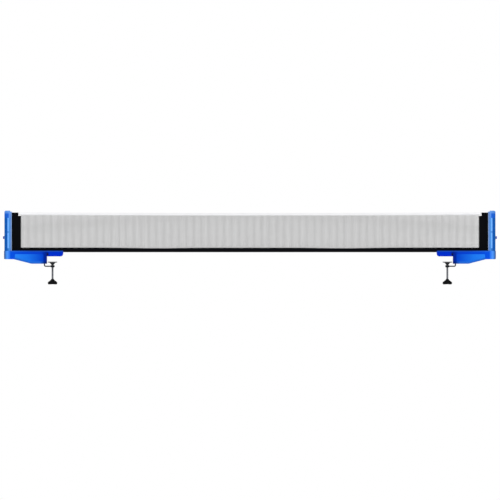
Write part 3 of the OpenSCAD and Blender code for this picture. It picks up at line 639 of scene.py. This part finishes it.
def refined(name, node, finish, slot, wide, narrow, others=(), cuts=()):
    """A CAD node's mesh with its outer edges rounded: at most wide where both faces are outside,
    and at most narrow where one is. Short edges hold a whole pass back, mostly far below these
    widths and in places to nothing, which leaves faces without area. others are nodes that cover
    it, as the other half of a housing does."""
    covers = [BVHTree.FromPolygons([v.co for v in nodes[n].data.vertices],
                                   [p.vertices for p in nodes[n].data.polygons])
              for n in (node, *others)]
    bm = bmesh.new()
    bm.from_mesh(nodes[node].data)
    bmesh.ops.remove_doubles(bm, verts=bm.verts, dist=WELD_M)
    parted(bm, cuts)

    def outside(face):
        start = face.calc_center_median() + face.normal * CLEAR_M
        return all(tree.ray_cast(start, face.normal)[0] is None for tree in covers)

    for width, both in ((wide, True), (narrow, False)):
        if width <= 0:
            continue
        bm.normal_update()
        shown = {face: outside(face) for face in bm.faces}
        edges = [e for e in bm.edges
                 if e.is_manifold and e.is_convex
                 and e.calc_face_angle() > math.radians(SHARP_EDGE)
                 and e.calc_length() > SHORTEST_EDGE_M
                 and (all if both else any)(shown[f] for f in e.link_faces)]
        bmesh.ops.bevel(bm, geom=edges, offset=width * MM, offset_type="OFFSET", segments=3,
                        profile=0.5, affect="EDGES", clamp_overlap=True)
    mesh = bpy.data.meshes.new(name)
    bm.to_mesh(mesh)
    bm.free()
    mesh.materials.append(FINISH[finish])
    made = placed(name, mesh)
    smooth(made, 40)
    made.modifiers.new("shading", "WEIGHTED_NORMAL").keep_sharp = True
    return stands_for(made, node, slot)


# ---- The clamps and posts ----

def screw(name, centre, outward, diameter, height, shank, shank_d=3.0):
    """A pan head screw with a cross recess; centre is the middle of the head's underside."""
    axis = "xyz"[max(range(3), key=lambda i: abs(outward[i]))]
    way = 1 if sum(outward) > 0 else -1
    r = diameter / 2
    profile = [(shank_d / 2, -shank), (shank_d / 2, 0.0), (r - 0.25, 0.0), (r, 0.25),
               (r, height * 0.45), (r - 0.22, height * 0.75), (r - 0.8, height * 0.96),
               (r * 0.45, height)]
    if way < 0:
        profile = [(a, -h) for a, h in reversed(profile)]
    made = piece(name, Soup().add(*turned(profile, centre, 32, axis)), "screw")
    top = Vector(centre) + Vector(outward) * height
    return cross_recess(made, top, outward, diameter * 0.55, height * 0.65)


def group(name, parts, finish):
    """Joins parts into one object of one finish."""
    bm = bmesh.new()
    for part in parts:
        bm.from_mesh(part.data)
        bpy.data.objects.remove(part)
    mesh = bpy.data.meshes.new(name)
    bm.to_mesh(mesh)
    bm.free()
    mesh.materials.append(FINISH[finish])
    made = placed(name, mesh)
    smooth(made, 35)
    return made


def arm(side_name, k):
    """The two shells and the screws in them."""
    front, rear = side_name + "_arm_front_shell", side_name + "_arm_rear_shell"
    r = CASE_HEAD_R
    places = [(CASE_SCREWS.x0 + r, CASE_SCREWS.z0 + r), MIDDLE_CASE_SCREW,
              (CASE_SCREWS.x1 - r, CASE_SCREWS.z1 - r)]
    cuts = [("x", k * x) for x in [NOSE_SCREWS.x] + [x for x, _ in places]]
    refined(side_name + "_front_shell", front, "arm", "arm_plastic", 0.8, 0.25, (rear,), cuts)
    refined(side_name + "_rear_shell", rear, "arm", "arm_plastic", 0.8, 0.25, (front,), cuts)
    screws = [screw(f"{side_name}_case_screw_{i}", (k * x, CASE_HEAD_Y, z), (0, 1, 0), 2 * r,
                    CASE_HEAD_H, shank=6.0) for i, (x, z) in enumerate(places)]
    stands_for(group(side_name + "_case_screws", screws, "screw"),
               side_name + "_shell_screws", "plain_screw")
    screws = [screw(f"{side_name}_nose_screw_{way}",
                    (k * NOSE_SCREWS.x, way * (NOSE_SCREWS.y1 - NOSE_HEAD_H), NOSE_SCREWS.z),
                    (0, way, 0), NOSE_SCREWS.x1 - NOSE_SCREWS.x0, NOSE_HEAD_H, shank=4.0)
              for way in (-1, 1)]
    stands_for(group(side_name + "_nose_screws", screws, "dark_screw"),
               side_name + "_tongue_screws", "black_screw")


def jaw_pad(side_name, k):
    """A rubber strip with grooves across its lower face."""
    rib, groove, deep, slant = 2.4, 0.9, 0.55, 0.2
    outline = [(JAW_PAD.x0, JAW_PAD.z1), (JAW_PAD.x0, 0.0)]
    x = JAW_PAD.x0 + rib
    while x + groove < JAW_PAD.x1 - 1:
        outline += [(x, 0.0), (x + slant, deep), (x + groove - slant, deep), (x + groove, 0.0)]
        x += rib + groove
    outline += [(JAW_PAD.x1, 0.0), (JAW_PAD.x1, JAW_PAD.z1)]
    n = len(outline)
    soup = Soup().add([(x, y, z) for y in (JAW_PAD.y0, JAW_PAD.y1) for x, z in outline],
                      [tuple(range(n)), tuple(range(2 * n - 1, n - 1, -1))]
                      + [(i, i + n, (i + 1) % n + n, (i + 1) % n) for i in range(n)])
    made = piece(side_name + "_grooved_pad", soup, "rubber", k, sharp=30)
    face_outwards(made)
    stands_for(made, side_name + "_jaw_pad", "jaw_rubber")


def face_outwards(made):
    """Turns all faces of a closed piece outwards."""
    bm = bmesh.new()
    bm.from_mesh(made.data)
    bmesh.ops.recalc_face_normals(bm, faces=bm.faces)
    bm.to_mesh(made.data)
    bm.free()


def clamp(side_name, k):
    """The steel frame, and the screw with what it carries."""
    refined(side_name + "_steel_frame", side_name + "_clamp_frame", "frame", "clamp_steel",
            0.5, 0.3, cuts=[("x", k * SCREW.x), ("x", k * FOOT_SCREW.x), ("x", k * NOSE_SCREWS.x)])
    centre = (k * SCREW.x, 0, 0)
    shank_r = SCREW.x1 - SCREW.x
    spindle = Soup().add(*threaded(shank_r, CLAMP_PITCH, SCREW.z0, SCREW.z1, centre))
    stands_for(piece(side_name + "_spindle", spindle, "screw", sharp=60),
               side_name + "_clamp_screw", "screw_steel")
    bore, wide = shank_r + 0.08, NUT.x1 - NUT.x
    flange = (NUT.z1 - NUT.z0 - STRIP_T) / 2
    nut = boss_end(bore, wide, NUT.z0, flange, 1) + boss_end(bore, wide, NUT.z1, flange, -1)[::-1]
    stands_for(piece(side_name + "_threaded_boss", Soup().add(*ringed(nut, centre)), "nut"),
               side_name + "_clamp_nut", "nut_steel")

    low, rim, tall = shank_r + 1.4, HUB.x1 - HUB.x, HUB.z1 - HUB.z0
    flare = [(low + (rim - low) * t ** 1.6, HUB.z0 + (tall - 0.9) * t)
             for t in (0.08, 0.25, 0.45, 0.65, 0.85, 1.0)]
    hub = [(bore, HUB.z0 + 0.4), (low - 0.4, HUB.z0), *flare, (rim, HUB.z1 - 0.3),
           (rim - 0.2, HUB.z1), (shank_r - 0.4, HUB.z1), (shank_r - 0.4, HUB.z1 - 2.1),
           (bore, HUB.z1 - 2.4)]
    stands_for(piece(side_name + "_pad_socket", Soup().add(*ringed(hub, centre)), "hub"),
               side_name + "_pad_hub", "hub_plastic")

    edge, low, high = PLATE.x1 - PLATE.x, PLATE.z0, PLATE.z1
    dish = [(0.01, low), (rim, low), (rim + 0.8, low + 0.15), (edge - 5, low + 0.7),
            (edge - 4.4, low + 1.0), (edge - 1.2, low + 1.1), (edge - 0.4, low + 1.3),
            (edge, high - 0.6), (edge - 0.05, high - 0.15), (edge - 0.3, high), (0.01, high)]
    stands_for(piece(side_name + "_dished_plate", Soup().add(*turned(dish, centre, 64)),
                     "plate"), side_name + "_pad_plate", "plate_steel")

    edge, low, high = FACING.x1 - FACING.x, FACING.z0, FACING.z1
    disc = [(0.01, low), (edge - 0.3, low), (edge, low + 0.2), (edge, high - 0.25),
            (edge - 0.25, high - 0.02), (edge - 1.1, high), (edge - 1.4, high - 0.12),
            (edge - 1.7, high), (0.01, high)]
    stands_for(piece(side_name + "_pad_disc", Soup().add(*turned(disc, centre, 64)),
                     "facing"), side_name + "_pad_facing", "facing_rubber")
    wing_grip(side_name)


def boss_end(bore, wide, end_z, flange, way):
    """One flange of the threaded boss, from its bore to its waist; way points into the jaw."""
    steps = [(bore, 0.7), (bore + 0.7, 0.0), (wide - 1.6, 0.0), (wide - 0.6, 0.3),
             (wide, 0.9), (wide, flange - 0.3), (wide - 0.15, flange), (wide - 1.65, flange)]
    return [(r, end_z + way * h) for r, h in steps]


def wing_grip(side_name):
    """The grip with its edges rounded all over, as a moulding has them."""
    node = side_name + "_wing_grip"
    made = placed(side_name + "_grip", nodes[node].data.copy())
    remesh = made.modifiers.new("remesh", "REMESH")
    remesh.mode = "VOXEL"
    remesh.voxel_size = 0.42 * MM
    relax = made.modifiers.new("relax", "SMOOTH")
    relax.factor = 0.5
    relax.iterations = 9
    bake(made)
    made.data.materials.clear()
    made.data.materials.append(FINISH["black_plastic"])
    smooth(made, 60)
    stands_for(made, node, "grip_plastic")


def post(side_name, k):
    """The post, what is moulded on it, and what locks the net to it."""
    halves = [("x", k * FOOT_SCREW.x), ("y", 0)]
    refined(side_name + "_channel", side_name + "_post", "post", "post_paint", 0.35, 0.2,
            cuts=halves + [("x", k * TRIM.x)])
    refined(side_name + "_cap", side_name + "_post_cap", "cap", "cap_plastic", 0.7, 0.25,
            cuts=halves)
    refined(side_name + "_foot", side_name + "_post_foot", "foot", "foot_plastic", 0.7, 0.25,
            cuts=halves)
    refined(side_name + "_trim", side_name + "_post_trim", "trim", "trim_plastic", 0.3, 0.0)
    refined(side_name + "_slider", side_name + "_net_slider", "slider", "slider_plastic",
            0.4, 0.2, cuts=[("x", k * KNOT_X), ("x", k * ROD.x), ("y", 0)])
    refined(side_name + "_washer", side_name + "_height_washer", "washer", "washer_steel",
            0.12, 0.1, cuts=[("y", 0)])
    foot_screw = screw(side_name + "_foot_screw",
                       (k * FOOT_SCREW.x, 0, FOOT_SCREW.z0 + FOOT_HEAD_H), (0, 0, -1),
                       FOOT_SCREW.x1 - FOOT_SCREW.x0, FOOT_HEAD_H, shank=7.6, shank_d=M5_D)
    foot_screw.data.materials.append(FINISH["screw"])
    smooth(foot_screw, 35)
    stands_for(foot_screw, side_name + "_post_screw", "plain_screw")
    thumb_screw(side_name, k)
    nodes[side_name + "_side_rod"].data.materials[0] = FINISH["rod"]


def thumb_screw(side_name, k):
    """A scalloped plastic head moulded on an M5 screw."""
    shank_r, r = M5_D / 2, THUMB.z1 - THUMB.z
    low, high = WASHER.x1 + 0.05, THUMB.x1
    profile = [(shank_r - 0.1, low), (r - 0.6, low), (r - 0.15, low + 0.35), (r, low + 0.85),
               (r, high - 1.25), (r - 0.2, high - 0.55), (r - 0.7, high - 0.1),
               (r - 1.8, high), (r - 2.1, high - 0.15), (r - 2.3, high - 0.45),
               (0.01, high - 0.45)]
    flutes, flute_depth = 12, (0, 0.3, 0.5, 0.55, 0.55, 0.45, 0.25, 0, 0, 0, 0)

    def scallop(row, angle):
        return -flute_depth[row] * (0.5 - 0.5 * math.cos(flutes * angle)) ** 2

    head = Soup().add(*turned(profile, (0, 0, THUMB.z), 96, "x", scallop))
    made = piece(side_name + "_thumb_head", head, "thumb", k, sharp=50)
    face_outwards(made)
    stands_for(made, side_name + "_height_screw", "height_screw_plastic")
    shank = Soup().add(*threaded(shank_r, THUMB_PITCH, THUMB.x0, low + 0.15, (0, 0, THUMB.z),
                                 "x", k, 24))
    made = piece(side_name + "_thumb_thread", shank, "screw", k, sharp=60)
    face_outwards(made)
    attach(made, nodes[side_name + "_height_screw"]["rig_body"])


# ---- The net ----

MESH_W, MESH_H = 4.33, 3.95
THREAD_R, CROSSING_R, WEAVE = 0.47, 0.56, 0.35
# How far the threads reach into the band, the tape and the sleeves
IN_BAND, IN_TAPE, IN_SLEEVE = 6, 3, 9
HEM_H, SEAM_DROP, SEAM_Y = 8, 2.4, 1.85
# The band's upper edge lies DIP lower all along, and lower still around SIDE_DIP_X on either side
# and in the middle
DIP = 1.0
SIDE_DIP, SIDE_DIP_X, SIDE_DIP_REACH = 1.8, 350, 130
MIDDLE_DIP, MIDDLE_DIP_REACH = 0.5, 200
COLUMNS, ROWS = round(2 * SLEEVE.x0 / MESH_W), round((TAPE_LOW_Z - BAND.z1) / MESH_H)


def uneven(amount=0.16):
    """How far a thread strays from its place."""
    return rng.uniform(-amount, amount)


def column_x(c):
    """Place of an upright thread."""
    return SLEEVE.x0 * (2 * (c + 0.5) / COLUMNS - 1)


def hem_dip(x):
    """How far the band's upper edge wanders down at x."""
    return (DIP + SIDE_DIP * math.exp(-((abs(x) - SIDE_DIP_X) / SIDE_DIP_REACH) ** 2)
            + MIDDLE_DIP * math.exp(-(x / MIDDLE_DIP_REACH) ** 2))


def row_z(r, x):
    """Height of a level thread; row -1 shows where the band dips."""
    return BAND.z1 + (TAPE_LOW_Z - sag(x) - BAND.z1) * (r + 1) / ROWS


def upright_threads():
    """Threads from inside the band to inside the tape; each swells where a level one crosses."""
    soup = Soup()
    for c in range(COLUMNS):
        x = column_x(c) + uneven()
        path, radii = [(x, 0, BAND.z1 - IN_BAND)], [THREAD_R]
        for r in range(-1, ROWS):
            z = row_z(r, x)
            path += [(x + uneven(), WEAVE * (-1) ** (c + r), z), (x, 0, z + MESH_H / 2)]
            radii += [CROSSING_R, THREAD_R]
        path[-1] = (x, 0, TAPE_LOW_Z - sag(x) + IN_TAPE)
        soup.add(*tube(path, radii, 4))
    return soup


def level_threads():
    """Threads that run from one sleeve to the other."""
    soup = Soup()
    for r in range(-1, ROWS):
        path, radii = [(-SLEEVE.x0 - IN_SLEEVE, 0, row_z(r, SLEEVE.x0))], [THREAD_R]
        for c in range(COLUMNS):
            x, drift = column_x(c), uneven(0.1)
            path += [(x, -WEAVE * (-1) ** (c + r), row_z(r, x) + drift),
                     (x + SLEEVE.x0 / COLUMNS, 0, row_z(r, x) + drift)]
            radii += [CROSSING_R, THREAD_R]
        path[-1] = (SLEEVE.x0 + IN_SLEEVE, 0, row_z(r, SLEEVE.x0))
        soup.add(*tube(path, radii, 4))
    return soup


def netting():
    """Two pieces, with the upright and the level threads."""
    uprights = stands_for(piece("net_upright_threads", upright_threads(), "net", sharp=100),
                          "net_mesh", "net_thread")
    levels = piece("net_level_threads", level_threads(), "net", sharp=100)
    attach(levels, "net")


def arc(centre, radius, start, end, steps):
    """Points along an arc from start to end, in degrees."""
    return [(centre[0] + radius * math.cos(math.radians(start + (end - start) * i / steps)),
             centre[1] + radius * math.sin(math.radians(start + (end - start) * i / steps)))
            for i in range(steps + 1)]


def stations(reach, step):
    """Even places from -reach to reach, about step apart."""
    count = round(2 * reach / step)
    return [reach * (2 * i / count - 1) for i in range(count + 1)]


def edge_tape():
    """White tape folded over the top cord and stitched through below it."""
    half, reach = 1.85, EAR_X - EAR_GAP
    section = [(-1.5, TAPE_LOW_Z), (-1.6, TAPE_LOW_Z + 1.5), (-1.75, TAPE_LOW_Z + 3.5),
               (-half, CORD_Z - 1)] + arc((0, CORD_Z), half, 180, 0, 8)
    section += [(-y, z) for y, z in reversed(section[:4])]
    tape = piece("net_top_tape", Soup().add(*folded(section, stations(reach, 8), 0.22, sag)),
                 "tape", sharp=60)
    thicken(tape)
    stands_for(tape, "top_tape", "white_tape")
    seam_y, seam_z, end_x, end_y = 2.0, TAPE_LOW_Z + 2.2, reach - 1.4, 2.05
    rows = [((-reach + 2, way * seam_y, seam_z), (reach - 2, way * seam_y, seam_z), (0, way, 0))
            for way in (-1, 1)]
    rows += [((k * end_x, way * end_y, TAPE_LOW_Z + 1), (k * end_x, way * end_y, TAPE.z1 - 3),
              (0, way, 0)) for way in (-1, 1) for k in (-1, 1)]
    seam = piece("net_top_tape_stitches", stitches(rows, sag), "white_thread", sharp=60)
    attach(seam, "net")


def lower_band():
    """Black band folded over the netting's lower edge and the cord in it."""
    half, reach = 1.6, SLEEVE.x0 + 3
    section = [(-1.35, BAND.z1), (-1.45, BAND.z1 - 3), (-half, BAND.z1 - HEM_H),
               (-half, BAND.z0 + 3)] + arc((0, BAND.z0 + 1.95), half, 180, 360, 8)
    section += [(-y, z) for y, z in reversed(section[:4])]
    points, faces = folded(section, stations(reach, 8), 0.15)
    points = [(x, y, z - hem_dip(x) * max(0.0, 1 - (BAND.z1 - z) / HEM_H)) for x, y, z in points]
    band = piece("net_lower_band", Soup().add(points, faces), "black_cloth", sharp=60)
    thicken(band)
    stands_for(band, "bottom_band", "black_cloth")
    seam_z = BAND.z1 - SEAM_DROP
    rows = [((-reach + 6, way * SEAM_Y, seam_z), (reach - 6, way * SEAM_Y, seam_z), (0, way, 0))
            for way in (-1, 1)]
    seam = piece("net_lower_band_stitches",
                 stitches(rows, lambda x: hem_dip(x) * (1 - SEAM_DROP / HEM_H)),
                 "black_thread", sharp=60)
    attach(seam, "net")


def sleeve(side_name, k):
    """Black cloth folded round the side rod: a round tunnel, then two layers over the netting.
    Next to the top tape it is narrower, so its inner edge has a step."""
    flat_y, tunnel_r = 1.35, 3.65
    tunnel_x = ROD.x - 5.7
    front = [(SLEEVE.x0 + (EAR_X - SLEEVE.x0) * i / 3, -flat_y) for i in range(3)]
    front += [(EAR_X + (tunnel_x - EAR_X) * i / 3, -flat_y) for i in range(4)]
    front += [(ROD.x - 4.0, -1.75)]
    path = front + arc((ROD.x, 0), tunnel_r, -142, 142, 18)
    path += [(x, -y) for x, y in reversed(front)]
    low_rows, high_rows = 18, 3
    levels = [SLEEVE.z0 + (STEP_Z - SLEEVE.z0) * i / low_rows for i in range(low_rows + 1)]
    levels += [STEP_Z + (SLEEVE.z1 - STEP_Z) * i / high_rows for i in range(1, high_rows + 1)]
    n = len(path)
    points = []
    for z in levels:
        for x, y in path:
            ripple = 0.16 * math.sin(z / 9.0 + x / 5.0) * math.sin(z / 31.0)
            fixed = min(1.0, (x - SLEEVE.x0) / 12)
            points.append((x, y + math.copysign(ripple * fixed, y), z))
    faces = []
    for i in range(len(levels) - 1):
        for j in range(n - 1):
            if i >= low_rows and min(path[j][0], path[j + 1][0]) < EAR_X - 0.01:
                continue
            a = i * n + j
            faces.append((a, a + 1, a + 1 + n, a + n))
    used = sorted({i for face in faces for i in face})
    renumber = {old: new for new, old in enumerate(used)}
    soup = Soup().add([points[i] for i in used],
                      [tuple(renumber[i] for i in face) for face in faces])
    cloth_piece = piece(side_name + "_sleeve_cloth", soup, "black_cloth", k, sharp=60)
    thicken(cloth_piece)
    stands_for(cloth_piece, side_name + "_sleeve", "black_cloth")
    rows = []
    for way in (-1, 1):
        y, out = way * SEAM_Y, (0, way, 0)
        rows += [((x, y, SLEEVE.z0 + 1.5), (x, y, high), out)
                 for x, high in ((tunnel_x - 1, SLEEVE.z1 - 1.5), (SLEEVE.x0 + 2.2, STEP_Z - 1.8))]
        rows += [((EAR_X + 2.1, y, STEP_Z - 1.0), (EAR_X + 2.1, y, SLEEVE.z1 - 1.5), out)]
    seam = piece(side_name + "_sleeve_stitches", stitches(rows), "black_thread", k, sharp=60)
    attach(seam, "net")


def wound_knot(k):
    """A tight stopper knot: three slanting turns of the cord round itself."""
    knot, turn_r, cord_r, apart, slant = Soup(), 1.3, CORD_D / 2, 1.3, 0.14
    for shift in (-apart, 0.0, apart):
        ring = [(turn_r + cord_r * math.cos(a), cord_r * math.sin(a) + k * shift)
                for a in (2 * math.pi * i / 12 for i in range(12))]
        points, faces = ringed(ring, (k * KNOT_X, 0, CORD_Z), "x", 24)
        knot.add([(x + slant * y, y, z) for x, y, z in points], faces)
    return knot.points, knot.faces


def cords():
    """The cord in the tape with its knots, and the one in the band."""
    ends = [KNOT_X - 2.0, KNOT_X - 6, SLEEVE.x1 - 3, ROD.x - 3, EAR_X + 6]
    xs = [-x for x in ends] + stations(EAR_X, 60) + ends[::-1]
    braid = Soup().add(*tube([(x, 0, CORD_Z - sag(x)) for x in xs], CORD_D / 2, 12))
    for k in SIDES.values():
        braid.add(*wound_knot(k))
    made = piece("top_cord_braid", braid, "cord", sharp=60)
    face_outwards(made)
    stands_for(made, "top_cord", "top_cord")
    lower = Soup().add(*tube([(x, 0, BOTTOM_CORD.z) for x in stations(BOTTOM_CORD.x1, 60)],
                             BOTTOM_CORD.z1 - BOTTOM_CORD.z, 12))
    stands_for(piece("lower_cord_braid", lower, "dark_cord", sharp=60), "bottom_cord",
               "bottom_cord")


for side_name, k in SIDES.items():
    arm(side_name, k)
    jaw_pad(side_name, k)
    clamp(side_name, k)
    post(side_name, k)
cords()
edge_tape()
lower_band()
for side_name, k in SIDES.items():
    sleeve(side_name, k)
netting()


# ---- Floor, light and camera ----

def floor(half_m, z_m):
    """What the object is seen on, which is no part of it."""
    mesh = bpy.data.meshes.new("floor")
    mesh.from_pydata([(-half_m, -half_m, z_m), (half_m, -half_m, z_m), (half_m, half_m, z_m),
                      (-half_m, half_m, z_m)], [], [(0, 1, 2, 3)])
    mesh.materials.append(floor_finish())
    made = placed("floor", mesh)


def floor_finish():
    f = Finish("floor_white", Specular_IOR_Level=0.1)
    f.colour(f.ramp(f.noise(300, 2.0), (0.3, srgb(243, 243, 243)), (0.7, srgb(247, 247, 247))))
    f.roughness(f.noise(60), 0.85, 0.95)
    f.bump(f.noise(4, 2.0), 0.05, 0.3)
    return f.material


def softbox(name, place_m, target_m, size_m, power):
    """A soft rectangular light, which the camera doesn't see."""
    light = bpy.data.lights.new(name, "AREA")
    light.shape = "RECTANGLE"
    light.size, light.size_y = size_m
    light.energy = power
    made = placed(name, light)
    made.location = place_m
    ahead = Vector(target_m) - Vector(place_m)
    made.rotation_euler = ahead.to_track_quat("-Z", "Y").to_euler()
    made.visible_camera = False


def world(ambient):
    """An even sky for the object, shown as white where the camera sees past it."""
    made = bpy.data.worlds.new("studio")
    bpy.context.scene.world = made
    made.use_nodes = True
    tree = made.node_tree
    tree.nodes.clear()
    path = tree.nodes.new("ShaderNodeLightPath")
    sky, shown = tree.nodes.new("ShaderNodeBackground"), tree.nodes.new("ShaderNodeBackground")
    sky.inputs["Strength"].default_value = ambient
    for node in (sky, shown):
        node.inputs["Color"].default_value = (1, 1, 1, 1)
    seen = path.outputs["Is Camera Ray"]
    for other in ("Is Glossy Ray", "Is Transmission Ray"):
        both = tree.nodes.new("ShaderNodeMath")
        both.operation = "MAXIMUM"
        tree.links.new(seen, both.inputs[0])
        tree.links.new(path.outputs[other], both.inputs[1])
        seen = both.outputs[0]
    mix, out = tree.nodes.new("ShaderNodeMixShader"), tree.nodes.new("ShaderNodeOutputWorld")
    tree.links.new(seen, mix.inputs[0])
    tree.links.new(sky.outputs[0], mix.inputs[1])
    tree.links.new(shown.outputs[0], mix.inputs[2])
    tree.links.new(mix.outputs[0], out.inputs["Surface"])


floor(7.0, FLOOR_Z * MM)
world(ambient=0.62)
softbox("front_softbox", (0, -3.4, 1.1), (0, 0, 0.05), (4.2, 2.4), 46)
softbox("back_softbox", (0, 3.0, 1.6), (0, 0, 0.05), (3.6, 1.6), 22)
for k in SIDES.values():
    softbox(f"side_softbox_{'right' if k > 0 else 'left'}", (k * 2.3, -0.9, 0.5),
            (k * 0.9, 0, 0.05), (0.9, 1.2), 9)

PICTURE_W_M, EYE_M = 1.8795, (0.0002, -2.8, 0.02425)
camera = bpy.data.cameras.new("camera")
camera.type = "ORTHO"
camera.ortho_scale = PICTURE_W_M
camera.clip_end = 50
eye = placed("camera", camera)
eye.location = EYE_M
eye.rotation_euler = (math.pi / 2, 0, 0)
bpy.context.scene.camera = eye
bpy.context.scene.view_settings.view_transform = "Standard"
